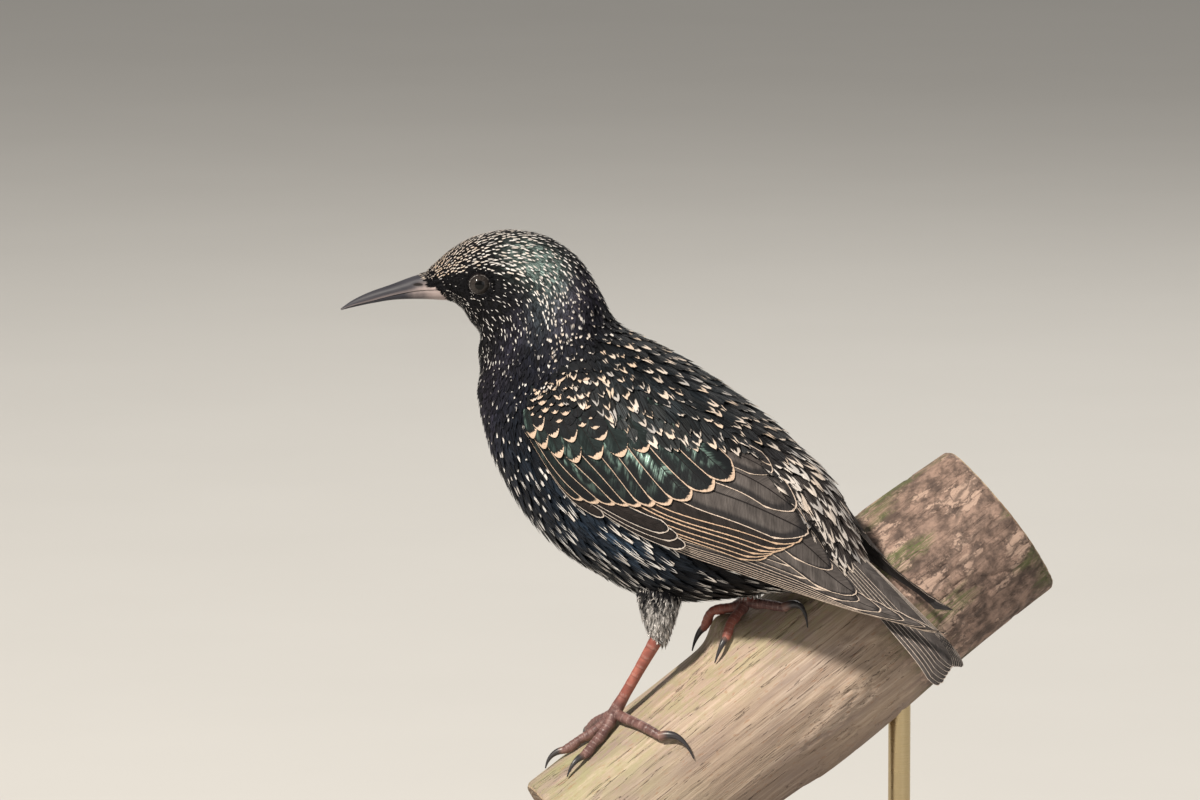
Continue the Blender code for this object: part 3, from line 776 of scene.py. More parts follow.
def contour_finish():
    """Dark glossy vanes with a pale mark at the tip, which a dark wedge along the shaft can split, and painted
    highlights on scattered strands.
    """
    material, nodes, shader = finish("contour feathers", (0.02, 0.02, 0.02), 0.42, Specular_IOR_Level=0.08)
    across, along = nodes.along_vane()
    mark = nodes.read("mark")
    start, width, wedge = nodes.split(mark["Color"])[0:3]
    warmth = mark["Alpha"]
    gloss = nodes.read("gloss")
    seed = gloss["Alpha"]
    aside = nodes.math("ABSOLUTE", nodes.math("MULTIPLY_ADD", across, 2.0, -1.0))
    streaks = nodes.noise(
        nodes.vector(nodes.math("MULTIPLY", across, 11.0), nodes.math("MULTIPLY", along, 1.3),
                     nodes.math("MULTIPLY", seed, 57.0)), 1.0, 2.0,
    )
    ragged = nodes.math("MULTIPLY_ADD", streaks, 0.36, -0.18)
    dip = nodes.math("MAXIMUM", nodes.math("SUBTRACT", 1.0, nodes.math("DIVIDE", aside, width)), 0.0)
    edge = nodes.math("ADD", nodes.math("MULTIPLY_ADD", dip, wedge, start), ragged)
    spot = nodes.step(nodes.math("SUBTRACT", along, edge), -0.02, 0.05)
    inside = nodes.step(nodes.math("SUBTRACT", aside, nodes.math("MULTIPLY_ADD", ragged, 0.6, width)), 0.05, -0.03)
    spot = nodes.math("MULTIPLY", spot, inside)
    slant = nodes.math("MULTIPLY_ADD", aside, -2.0, nodes.math("MULTIPLY", along, 9.0))
    barbs = nodes.math("SINE", nodes.math("MULTIPLY", slant, 12.0))
    tone = nodes.remap(streaks, 0.3, 0.7, 0.45, 1.6)
    tone = nodes.math("MULTIPLY", tone, nodes.remap(barbs, -1.0, 1.0, 0.86, 1.14))
    dark = nodes.mix(1.0, gloss["Color"], nodes.vector(tone, tone, tone), "MULTIPLY")
    shaft = nodes.step(aside, 0.02, 0.10)
    dark = nodes.mix(shaft, (0.003, 0.003, 0.004), dark)
    # Scattered strands get a painted highlight: the gloss colour made four times brighter, with a little grey
    strands = nodes.noise(
        nodes.vector(nodes.math("MULTIPLY", across, 34.0), nodes.math("MULTIPLY", along, 1.5),
                     nodes.math("MULTIPLY", seed, 23.0)), 1.0, 1.0,
    )
    painted_strand_highlight = nodes.mix(0.15, nodes.mix(1.0, gloss["Color"], (4.0, 4.0, 4.0), "MULTIPLY"), (0.095, 0.088, 0.084))
    dark = nodes.mix(nodes.math("MULTIPLY", nodes.step(strands, 0.56, 0.70), 0.55), dark, painted_strand_highlight)
    pale = nodes.mix(warmth, (0.82, 0.81, 0.80), (0.68, 0.52, 0.39))
    pale = nodes.mix(nodes.remap(streaks, 0.25, 0.75, 0.0, 1.0), nodes.mix(0.5, pale, (0.22, 0.17, 0.13)), pale)
    pale = nodes.mix(nodes.step(nodes.math("FRACT", nodes.math("MULTIPLY", seed, 7.0)), 0.35, 0.0), pale, (0.36, 0.34, 0.33))
    nodes.put(shader.inputs["Base Color"], nodes.mix(spot, dark, pale))
    depth = nodes.math("MULTIPLY", nodes.step(nodes.split(gloss["Color"])[1], 0.010, 0.070), 0.55)
    shine = nodes.math("MULTIPLY", nodes.math("ADD", depth, 0.02), nodes.math("SUBTRACT", 1.0, spot))
    nodes.put(shader.inputs["Metallic"], shine)
    nodes.put(shader.inputs["Roughness"], nodes.remap(shine, 0.0, 0.6, 0.55, 0.36))
    height = nodes.math("ADD", streaks, nodes.math("MULTIPLY", barbs, 0.12))
    nodes.put(shader.inputs["Normal"], nodes.bump(height, 0.0002, 0.8))
    return material


BLACK = np.array((0.0045, 0.0045, 0.0056))

# Glossy patches, the plumage's green, purple and blue tints painted into the dark colour, with painted sheen in the
# crown's green and the neck's lilac: centre and spread along the body, centre and spread of upness, colour
GLOSS = (
    # The crown's green gloss with a painted highlight over it
    (4.9, 0.9, 0.76, 0.09, (0.190, 0.260, 0.240)),
    (5.9, 0.6, 0.62, 0.08, (0.036, 0.046, 0.054)),
    # The neck's purple gloss with painted sheen
    (6.4, 0.6, 0.76, 0.10, (0.050, 0.046, 0.062)),
    (17.0, 2.4, 1.00, 0.25, (0.105, 0.088, 0.080)),
    (5.6, 0.8, 0.45, 0.12, (0.014, 0.013, 0.022)),
    (6.6, 0.8, 0.95, 0.20, (0.010, 0.008, 0.014)),
    (7.2, 0.9, 0.60, 0.20, (0.003, 0.004, 0.010)),
    (7.0, 1.9, 0.20, 0.15, (0.014, 0.012, 0.021)),
    (9.0, 1.6, 0.38, 0.14, (0.002, 0.005, 0.009)),
    (10.5, 2.5, 0.85, 0.20, (0.002, 0.005, 0.007)),
    (12.0, 2.0, 0.66, 0.10, (0.002, 0.008, 0.008)),
    (12.8, 1.8, 0.42, 0.12, (0.016, 0.030, 0.050)),
    (10.5, 2.2, 0.20, 0.14, (0.002, 0.004, 0.008)),
    (12.0, 2.6, 0.76, 0.12, (0.028, 0.029, 0.028)),
)


def gloss_colours(first, second, order):
    """The dark part's colour, which turns with the place on the bird, and a number for each vane."""
    up = upness(second)
    count = len(first)
    mixed = np.tile(BLACK, (count, 1))
    for place, spread, rise, rise_spread, colour in GLOSS:
        share = np.exp(-((first - place) / spread) ** 2 - ((up - rise) / rise_spread) ** 2)
        share *= order.uniform(0.35, 1.25, count)
        mixed += share[:, None] * np.array(colour)
    mixed *= order.uniform(0.5, 1.3, (count, 1))
    return np.concatenate([np.clip(mixed, 0.003, 1), order.uniform(0, 1, (count, 1))], 1)


# Pale tips by region: places along the body, upness, then where the tip starts, its half width,
# the wedge that splits it, its warmth and the share of vanes that have one
TIPS = (
    (-1.0, 1.2, 0.62, 1.01, 0.50, 0.26, 0.0, 0.80, 1.00),
    (1.2, 2.6, 0.62, 1.01, 0.53, 0.22, 0.0, 0.55, 0.98),
    (2.6, 4.6, 0.62, 1.01, 0.55, 0.22, 0.0, 0.20, 0.96),
    (4.6, 6.4, 0.62, 1.01, 0.64, 0.17, 0.0, 0.10, 0.78),
    (-1.0, 2.3, 0.42, 0.62, 0.80, 0.15, 0.0, 0.10, 0.20),
    (2.3, 5.4, 0.30, 0.62, 0.68, 0.12, 0.0, 0.00, 0.50),
    (-1.0, 2.3, 0.00, 0.42, 0.66, 0.14, 0.0, 0.10, 0.70),
    (2.3, 5.4, 0.00, 0.30, 0.68, 0.12, 0.0, 0.05, 0.55),
    (5.4, 7.9, 0.40, 0.62, 0.78, 0.17, 0.0, 0.00, 0.45),
    (6.4, 7.9, 0.62, 1.01, 0.74, 0.22, 0.0, 0.30, 0.85),
    (5.4, 8.2, 0.00, 0.40, 0.77, 0.12, 0.0, 0.05, 0.34),
    (7.9, 9.0, 0.50, 1.01, 0.66, 0.40, 0.10, 0.75, 1.00),
    (9.0, 13.5, 0.60, 1.01, 0.60, 0.42, 0.18, 0.70, 0.97),
    (13.5, 20.0, 0.60, 1.01, 0.36, 0.50, 0.30, 0.45, 1.00),
    (7.9, 11.0, 0.28, 0.50, 0.68, 0.20, 0.0, 0.05, 0.50),
    (9.0, 11.0, 0.50, 0.60, 0.72, 0.30, 0.1, 0.35, 0.60),
    (8.2, 11.0, 0.00, 0.28, 0.68, 0.16, 0.0, 0.05, 0.40),
    (11.0, 15.5, 0.00, 0.60, 0.44, 0.22, 0.36, 0.00, 0.72),
    (15.5, 20.0, 0.00, 0.60, 0.40, 0.32, 0.42, 0.20, 0.95),
    (14.2, 16.8, 0.16, 0.60, 0.52, 0.24, 0.30, 0.15, 0.30),
)


def pale_tips(first, second, order):
    """(start, half width, wedge, warmth) of each vane's tip. A start past 1 leaves it dark."""
    up = upness(second)
    count = len(first)
    marks = np.tile((1.4, 0.3, 0.0, 0.2), (count, 1))
    keep = np.zeros(count)
    for low, high, low_up, high_up, start, width, wedge, warmth, share in TIPS:
        here = (first >= low) & (first < high) & (up >= low_up) & (up < high_up)
        marks[here] = start, width, wedge, warmth
        keep[here] = share
    marks[:, 0] += order.uniform(-0.10, 0.10, count)
    marks[:, 1] *= order.uniform(0.8, 1.2, count)
    marks[:, 3] = np.clip(marks[:, 3] + order.uniform(-0.25, 0.25, count), 0, 1)
    marks[order.uniform(0, 1, count) > keep, 0] = 1.4
    return marks


def make_contour_coat(body, wings, material):
    order = np.random.default_rng(11)
    roots = tract_roots(body, row_gap, 0.82, FIRST_ROW, LAST_ROW)
    first, second = roots[:, 0], roots[:, 1]
    ends = body.read(body.points, first, second)
    ends = ends + unit_vectors(body.read(body.ahead, first, second)) * (row_gap(first, second) * 1.8)[:, None]
    free = np.ones(len(first), bool)
    for index, end in enumerate(ends):
        if not 7.0 < first[index] < 19.6:
            continue
        for wing in wings:
            along, across, distance = wing.find(end)
            if distance < 6.0 and across < 0.97 and not covers(along, across):
                free[index] = False
    free &= (first < COVER_END - 0.5) | (upness(second) > RUMP_UPNESS) | (upness(second) < 0.5)
    free &= (first > 5) | (eye_distance(body.read(body.points, first, second)) > EYE_CLEARANCE)
    roots = roots[free]
    count = len(roots)
    gap = row_gap(roots[:, 0], roots[:, 1])
    roots += order.normal(0, 1, (count, 2)) * np.stack([gap * 0.012, gap * 0.0008], -1)
    first, second = roots[:, 0], roots[:, 1]
    side = np.where(np.mod(second, 1) > 0.5, -1.0, 1.0)
    sweep = MANTLE_SWEEP * np.clip((first - 7.5) / 1.5, 0, 1) * np.clip((upness(second) - 0.5) / 0.1, 0, 1)
    sweep *= np.clip((1 - upness(second)) / 0.12, 0, 1)
    heading = order.normal(0, 0.10, count) + side * sweep
    length = gap * order.uniform(2.2, 2.9, count)
    half_width = gap * order.uniform(0.54, 0.68, count)
    depth = np.interp(first, SKIN_DEPTH_AT, SKIN_DEPTH)
    places = body.read(body.points, first, second)
    unit = unit_vectors(body.read(body.ahead, first, second))
    for _ in range(6):
        over_eye = (first < 5) & (eye_distance(places + unit * length[:, None]) < EYE_CLEARANCE)
        length[over_eye] *= 0.82
    gloss = gloss_colours(first, second, order)
    mark = pale_tips(first, second, order)
    bake = skin_map("body", second, np.clip(first / BODY_END, 0, 1))
    kinds = {
        "fine": [Template(7, 7, 0.42, 1.2, 0.20, seed, taper=0.3) for seed in (1, 2, 3)],
        "broad": [Template(8, 13, 0.50, 1.15, 0.20, seed, taper=0.3) for seed in (4, 5, 6, 7, 8)],
    }
    fine = gap < 1.7
    for name, chosen in (
        ("feathers_head", fine & (first < 4.0)),
        ("feathers_neck", fine & (first >= 4.0)),
        ("feathers_back", ~fine & (upness(second) >= 0.6)),
        ("feathers_breast", ~fine & (upness(second) < 0.6) & (first < 12)),
        ("feathers_belly", ~fine & (upness(second) < 0.6) & (first >= 12)),
    ):
        coat = Coat(name, material, "plumage")
        templates = kinds["fine" if name in ("feathers_head", "feathers_neck") else "broad"]
        kind = order.integers(0, len(templates), count)
        for index, template in enumerate(templates):
            at = np.nonzero(chosen & (kind == index))[0]
            if not len(at):
                continue
            points = lay(
                body, template, roots[at], heading[at], length[at], half_width[at],
                -depth[at] * 0.8, order.uniform(-0.02, 0.03, len(at)) * gap[at] + 0.03, camber=0.13,
            )
            coat.add(template, points, bake[at], gloss=gloss[at], mark=mark[at])
        if name == "feathers_head":
            add_face_fringe(coat, body)
            add_eye_rings(coat, body)
            add_bill_fringe(coat)
        coat.build()


BILL_SECTIONS = np.array([
    (*culmen, *mouth, *chin, half) for culmen, mouth, chin, half in (
        ((-33.2, 29.6), (-30.6, 24.6), (-28.4, 21.2), 3.3),
        ((-34.9, 28.7), (-32.6, 24.4), (-29.9, 21.2), 3.4),
        ((-39.3, 27.3), (-37.5, 24.0), (-36.0, 21.5), 2.9),
        ((-44.6, 25.3), (-43.8, 22.7), (-43.0, 21.35), 2.3),
        ((-50.0, 23.4), (-49.5, 21.1), (-49.0, 20.45), 1.65),
        ((-54.6, 21.2), (-54.4, 19.8), (-54.2, 19.35), 1.0),
        ((-58.0, 18.8), (-58.0, 18.6), (-57.8, 18.45), 0.22),
    )
])


def bill_top(place, turn):
    """Points of the bill's upper half, from its right side over the ridge to its left side."""
    cx, cz, mx, mz, gx, gz, half = np.moveaxis(eased(BILL_SECTIONS, place), -1, 0)
    rise = np.sin(math.pi * turn) ** 0.85
    side = np.cos(math.pi * turn)
    spread = half * np.sign(side) * np.abs(side) ** 0.9
    return posed(mx + (cx - mx) * rise, spread, mz + (cz - mz) * rise, 0)


def add_bill_fringe(coat):
    """Tiny feathers on the root of the bill's ridge, as far forward as the nostrils."""
    sheet = Sheet(bill_top, (0.2, 0.03), (2.6, 0.97), (49, 61))
    if np.sum(sheet.normals[..., 2]) < 0:
        sheet.outward = -1.0
        sheet.measure()
    order = np.random.default_rng(73)
    count = 360
    turn = order.uniform(0.05, 0.95, count)
    furthest = 0.72 + 0.50 * np.exp(-((turn - 0.5) / 0.20) ** 2)
    roots = np.stack([order.uniform(0.35, furthest), turn], -1)
    gloss = np.concatenate([BLACK * order.uniform(0.6, 2.2, (count, 1)), order.uniform(0, 1, (count, 1))], 1)
    mark = np.tile((1.4, 0.3, 0.0, 0.6), (count, 1))
    buff = (np.abs(turn - 0.5) < 0.30) & (order.uniform(0, 1, count) < 0.45)
    mark[buff, 0] = order.uniform(0.45, 0.7, buff.sum())
    template = Template(5, 5, 0.5, 1.2, 0.15, 10)
    points = lay(
        sheet, template, roots, order.normal(0, 0.2, count), order.uniform(1.1, 2.0, count),
        order.uniform(0.20, 0.32, count), np.full(count, -0.15), order.uniform(0.08, 0.3, count), camber=0.13,
    )
    bake = skin_map("body", np.mod(0.25 - 0.5 * turn, 1.0), np.zeros(count))
    coat.add(template, points, bake, gloss=gloss, mark=mark)


def add_face_fringe(coat, body):
    """Tiny feathers that point forward over the bill's root."""
    order = np.random.default_rng(71)
    count = 420
    roots = np.stack([order.uniform(0.0, 0.75, count), order.uniform(0, 1, count)], -1)
    high = upness(roots[:, 1])
    length = order.uniform(1.0, 1.9, count)
    length += order.uniform(1.2, 2.4, count) * np.clip(1 - np.abs(high - 0.62) / 0.30, 0, 1)
    tone = BLACK * order.uniform(0.6, 2.2, (count, 1))
    gloss = np.concatenate([tone, order.uniform(0, 1, (count, 1))], 1)
    mark = np.tile((1.4, 0.3, 0.0, 0.6), (count, 1))
    buff = (high > 0.66) & (order.uniform(0, 1, count) < 0.5)
    mark[buff, 0] = order.uniform(0.45, 0.7, buff.sum())
    pale = (high < 0.40) & (order.uniform(0, 1, count) < 0.3)
    mark[pale, 0] = 0.6
    points = lay(
        body, Template(5, 5, 0.5, 1.2, 0.15, 8), roots, math.pi + order.normal(0, 0.25, count), length,
        order.uniform(0.22, 0.36, count), np.full(count, -0.3), order.uniform(0.05, 0.35, count), camber=0.13,
    )
    coat.add(Template(5, 5, 0.5, 1.2, 0.15, 8), points, skin_map("body", roots[:, 1], roots[:, 0] / BODY_END),
             gloss=gloss, mark=mark)


def add_eye_rings(coat, body):
    """Tiny feathers that spread from the rim of each eye."""
    order = np.random.default_rng(72)
    centre = posed(EYE_CENTRE[0], 0.0, EYE_CENTRE[2], 0)
    roots, spokes = [], []
    rows, columns = np.nonzero(body.first < 5)
    places = body.points[rows, columns]
    for side in (-1, 1):
        there = np.nonzero((places[:, 1] - NECK[1]) * side > 0)[0]
        for ring, number in ((EYE_CLEARANCE - 0.25, 44), (EYE_CLEARANCE + 0.45, 50)):
            for turn in 2 * math.pi * (np.arange(number) + order.uniform(-0.3, 0.3, number)) / number:
                spoke = np.array((math.cos(turn), 0.0, math.sin(turn)))
                gaps = np.hypot(*(places[there] - centre - spoke * ring)[:, (0, 2)].T)
                best = there[np.argmin(gaps)]
                roots.append((body.first[rows[best], columns[best]], body.second[rows[best], columns[best]]))
                spokes.append(spoke + np.array((0.5, 0.0, 0.0)))
    roots, spokes = np.array(roots), np.array(spokes)
    count = len(roots)
    unit = unit_vectors(body.read(body.ahead, roots[:, 0], roots[:, 1]))
    aside = body.read(body.aside, roots[:, 0], roots[:, 1])
    aside = unit_vectors(aside - unit * np.sum(aside * unit, -1, keepdims=True))
    heading = np.arctan2(np.sum(spokes * aside, -1), np.sum(spokes * unit, -1))
    gloss = np.concatenate([BLACK * order.uniform(0.6, 2.0, (count, 1)), order.uniform(0, 1, (count, 1))], 1)
    mark = np.tile((1.4, 0.3, 0.0, 0.1), (count, 1))
    mark[order.uniform(0, 1, count) < 0.12, 0] = 0.7
    template = Template(5, 5, 0.5, 1.2, 0.15, 9)
    points = lay(
        body, template, roots, heading + order.normal(0, 0.15, count), order.uniform(0.9, 1.3, count),
        order.uniform(0.20, 0.30, count), np.full(count, -0.15), order.uniform(0.08, 0.2, count), camber=0.13,
    )
    coat.add(template, points, skin_map("body", roots[:, 1], roots[:, 0] / BODY_END), gloss=gloss, mark=mark)


# Wing and tail feathers

# Rails of the folded wing, as in its solid: (tailward, up, outward) mm from the wrist to the tips
WING_UPPER = np.array((
    (3.5, 3.0, 19.8), (14.0, 8.0, 16.5), (31.0, 4.9, 11.0), (47.0, -3.3, 9.4),
    (62.0, -13.5, 9.6), (75.5, -27.5, 12.5), (90.5, -47.0, 11.8), (113.5, -59.5, 8.5),
))
WING_MIDDLE = np.array((
    (2.5, -4.0, 24.0), (14.0, -7.5, 26.4), (30.0, -10.5, 26.2), (46.0, -17.5, 25.4),
    (62.0, -26.0, 23.4), (77.0, -38.2, 19.6), (94.0, -51.6, 14.6), (115.0, -60.6, 9.6),
))
WING_LOWER = np.array((
    (4.5, -11.0, 25.2), (15.0, -22.5, 28.2), (30.0, -28.5, 29.0), (46.0, -35.0, 28.3),
    (62.0, -41.8, 25.0), (78.0, -49.0, 20.4), (95.0, -55.2, 15.2), (113.5, -61.8, 9.5),
))
FAR_WING_SHORTER = 5.5


def wing_points(side):
    """The folded wing's outer face: along from the wrist at 0 to the tip, across from the back down."""
    def points(along, across):
        place = along * (len(WING_UPPER) - 1)
        upper, middle, lower = (eased(rail, place) for rail in (WING_UPPER, WING_MIDDLE, WING_LOWER))
        across = across[..., None]
        mixed = (
            upper * ((1 - across) * (1 - 2 * across))
            + middle * (4 * across * (1 - across))
            + lower * (across * (2 * across - 1))
        )
        tailward, up, outward = np.moveaxis(mixed, -1, 0)
        if side > 0:
            tailward = tailward - FAR_WING_SHORTER * np.maximum(along, 0) ** 2
        return posed(tailward, side * outward, up)

    return points


# Each wing feather: the line of its lower edge at the root and further on, its tip, half its width.
# Places are (along, across) the wing, widths mm. Each group goes from its lowest feather up.
PRIMARIES = (
    (0.10, 1.00, 0.62, 1.02, 1.000, 0.62, 2.4), (0.10, 0.97, 0.62, 0.994, 0.985, 0.59, 2.6),
    (0.10, 0.95, 0.62, 0.968, 0.955, 0.56, 2.8), (0.10, 0.94, 0.62, 0.942, 0.922, 0.52, 3.0),
    (0.10, 0.93, 0.62, 0.915, 0.888, 0.50, 3.2), (0.10, 0.92, 0.62, 0.885, 0.850, 0.49, 3.4),
    (0.10, 0.91, 0.62, 0.85, 0.815, 0.50, 3.6), (0.10, 0.90, 0.62, 0.81, 0.785, 0.47, 3.8),
    (0.10, 0.89, 0.62, 0.76, 0.760, 0.40, 4.0), (0.40, 0.76, 0.68, 0.62, 0.850, 0.34, 5.0),
    (0.40, 0.66, 0.66, 0.50, 0.805, 0.20, 5.2),
)
SECONDARIES = (
    (0.20, 0.87, 0.48, 0.89, 0.655, 0.69, 4.2), (0.20, 0.83, 0.50, 0.86, 0.669, 0.61, 4.2),
    (0.20, 0.79, 0.52, 0.81, 0.684, 0.53, 4.3), (0.20, 0.75, 0.53, 0.76, 0.701, 0.45, 4.3),
    (0.20, 0.70, 0.54, 0.72, 0.718, 0.35, 4.4), (0.20, 0.66, 0.55, 0.66, 0.733, 0.24, 4.4),
)
TERTIALS = (
    (0.34, 0.62, 0.60, 0.56, 0.746, 0.10, 6.3), (0.34, 0.48, 0.58, 0.33, 0.712, 0.02, 5.4),
    (0.36, 0.30, 0.54, 0.20, 0.634, -0.01, 4.4),
)
PRIMARY_COVERTS = (
    (0.02, 0.92, 0.14, 1.02, 0.250, 1.02, 1.8), (0.16, 0.92, 0.36, 1.04, 0.460, 0.95, 2.2),
    (0.16, 0.90, 0.34, 1.00, 0.444, 0.90, 2.2), (0.16, 0.88, 0.32, 0.96, 0.424, 0.87, 2.2),
)
GREATER_COVERTS = (
    (0.00, 0.78, 0.10, 0.91, 0.200, 0.94, 2.2), (0.03, 0.66, 0.14, 0.83, 0.245, 0.91, 2.6),
    (0.08, 0.60, 0.188, 0.78, 0.290, 0.87, 3.0), (0.13, 0.56, 0.235, 0.74, 0.326, 0.83, 3.2),
    (0.17, 0.52, 0.27, 0.70, 0.357, 0.79, 3.4), (0.20, 0.46, 0.30, 0.63, 0.390, 0.74, 3.6),
    (0.23, 0.40, 0.34, 0.58, 0.430, 0.67, 3.8), (0.26, 0.33, 0.375, 0.52, 0.474, 0.57, 4.0),
    (0.29, 0.25, 0.42, 0.43, 0.520, 0.42, 4.2), (0.32, 0.15, 0.46, 0.31, 0.556, 0.27, 4.2),
)
MEDIAN_COVERTS = (
    (-0.01, 0.42, 0.02, 0.56, 0.052, 0.66, 1.9), (0.02, 0.42, 0.06, 0.56, 0.097, 0.66, 2.1),
    (0.06, 0.42, 0.105, 0.55, 0.148, 0.65, 2.4), (0.10, 0.40, 0.15, 0.53, 0.198, 0.64, 2.6),
    (0.15, 0.34, 0.20, 0.47, 0.252, 0.575, 2.8), (0.20, 0.28, 0.25, 0.40, 0.307, 0.505, 2.9),
    (0.25, 0.20, 0.30, 0.33, 0.356, 0.41, 3.0),
)
UPPER_MEDIAN_COVERTS = (
    (0.02, 0.28, 0.05, 0.42, 0.085, 0.50, 2.0), (0.06, 0.28, 0.09, 0.40, 0.133, 0.50, 2.3),
    (0.10, 0.27, 0.14, 0.40, 0.184, 0.495, 2.6), (0.16, 0.22, 0.20, 0.34, 0.256, 0.435, 2.8),
)
LESSER_ROWS = 6


def lesser_coverts():
    """Rows of small coverts over the front of the wing, from the lowest row up."""
    found = []
    for row in reversed(range(LESSER_ROWS)):
        across = 0.07 + 0.062 * row
        root = max(across - 0.14, 0.0)
        for along in np.arange(0.030 + 0.016 * (row % 2), 0.190 + 0.012 * row, 0.031):
            middle = (root + across) / 2
            found.append((along - 0.035, root, along - 0.018, middle, along, across, 1.8 + 2.0 * along))
    return found


class Quill:
    """A large feather: its own template and points, and how far each point is from the rim."""

    def __init__(self, sheet, spec, level, rows, columns, tip, tilt, drop, order, tip_mark,
                 centred=False, slope=0.0):
        root, middle, end, self.half = np.array(spec[0:2]), np.array(spec[2:4]), np.array(spec[4:6]), spec[6]
        if not centred:
            root = root - self.edge_step(sheet, root)
            middle = middle - self.edge_step(sheet, middle)
        share = np.linalg.norm((middle - root) * (130, 35)) + 1e-6
        share /= share + np.linalg.norm((end - middle) * (130, 35))
        self.controls = root, middle, end, share
        steps = np.linspace(0, 1, 40)
        line = self.centre(steps)
        spots = sheet.read(sheet.points, line[:, 0], line[:, 1])
        self.length = np.linalg.norm(np.diff(spots, axis=0), axis=1).sum()
        self.template = Template(rows, columns, tip * self.half / self.length, 2.0, 0.0, 1, neck=0.6, taper=0.10)
        wear = order.normal(0, 0.0015, self.template.along.shape) * self.template.along ** 6
        along = self.template.along + wear
        at = self.centre(along)
        ahead = sheet.read(sheet.ahead, at[:, 0], at[:, 1])
        aside = sheet.read(sheet.aside, at[:, 0], at[:, 1])
        normals = sheet.read(sheet.normals, at[:, 0], at[:, 1])
        turn = self.centre(along + 0.01) - self.centre(along - 0.01)
        forward = ahead * turn[:, 0:1] + aside * turn[:, 1:2]
        sideways = np.cross(normals, forward)
        sideways /= np.linalg.norm(sideways, axis=1, keepdims=True)
        sideways *= np.sign(np.sum(sideways * aside, -1, keepdims=True))
        metric = np.stack([
            np.stack([np.sum(ahead * ahead, -1), np.sum(ahead * aside, -1)], -1),
            np.stack([np.sum(ahead * aside, -1), np.sum(aside * aside, -1)], -1),
        ], -2)
        wanted = np.stack([np.sum(ahead * sideways, -1), np.sum(aside * sideways, -1)], -1)
        step = np.linalg.solve(metric, wanted[..., None])[..., 0]
        reach = -self.template.across * self.half
        at = at + step * reach[:, None]
        normals = sheet.read(sheet.normals, at[:, 0], at[:, 1])
        normals /= np.maximum(np.linalg.norm(normals, axis=-1, keepdims=True), 1e-9)
        camber = 0.02 * self.half * (1 - self.template.side ** 2)
        height = level + (tilt + slope) * reach + camber - drop * (1 - self.template.along)
        self.points = sheet.read(sheet.points, at[:, 0], at[:, 1]) + normals * height[:, None]
        beside = (1 - np.abs(self.template.side)) * self.half
        ends = 1 - tip * self.half / self.length * self.template.side ** 2
        before = (ends - self.template.along) * self.length
        wide = np.abs(self.template.side) * self.half
        if tip_mark == "rim":
            self.rim = np.minimum(beside, before * 0.55)
        elif tip_mark == "tipped":
            self.rim = np.minimum(np.minimum(beside, before * 0.5), before * 0.15 + wide * 0.09)
        elif tip_mark == "chevron":
            self.rim = before * 0.34 + wide * 0.20
        else:
            self.rim = before * 0.45 + wide * 0.42

    def edge_step(self, sheet, at):
        """How far half the width is in the sheet's second coordinate."""
        aside = sheet.read(sheet.aside, at[0:1], at[1:2])
        return np.array((0.0, self.half / np.linalg.norm(aside)))

    def centre(self, share):
        """The shaft's line, through the root, the middle and the tip."""
        root, middle, end, at = self.controls
        share = np.asarray(share, float)[..., None]
        return (
            root * ((share - at) * (share - 1) / at)
            + middle * (share * (share - 1) / (at * (at - 1)))
            + end * (share * (share - at) / (1 - at))
        )


class QuillCoat:
    """A coat of large feathers, each with its own patch of the bake map."""

    def __init__(self, name, material, slot, places):
        self.coat = Coat(name, material, slot)
        self.across = math.ceil(math.sqrt(places))
        self.count = 0
        self.order = np.random.default_rng(len(name))

    def add(self, quill, colour, rim_width, warmth, tint, dark_end, shade=0.12):
        """Colour of the vane, width and warmth of the pale rim in mm, how much of the vane is
        glossy green, and how far the dark end reaches from the rim."""
        size = len(quill.rim)
        row, column = divmod(self.count, self.across)
        place = (np.array((column, row)) + 0.5) / self.across
        order = self.order
        tone = np.array(colour) * order.uniform(1 - shade, 1 + shade)
        seed = order.uniform(0, 1)
        gloss = np.concatenate([np.tile(tone, (size, 1)), np.full((size, 1), seed)], 1)
        edge = np.stack([quill.rim, np.full(size, rim_width), np.full(size, warmth)], -1)
        form = np.stack([quill.template.along * quill.length, np.full(size, tint), np.full(size, dark_end)], -1)
        self.coat.add(
            quill.template, quill.points[None], place[None], 0.92 / self.across,
            gloss=gloss[None], edge=edge[None], form=form[None],
        )
        self.count += 1

    def build(self):
        return self.coat.build()


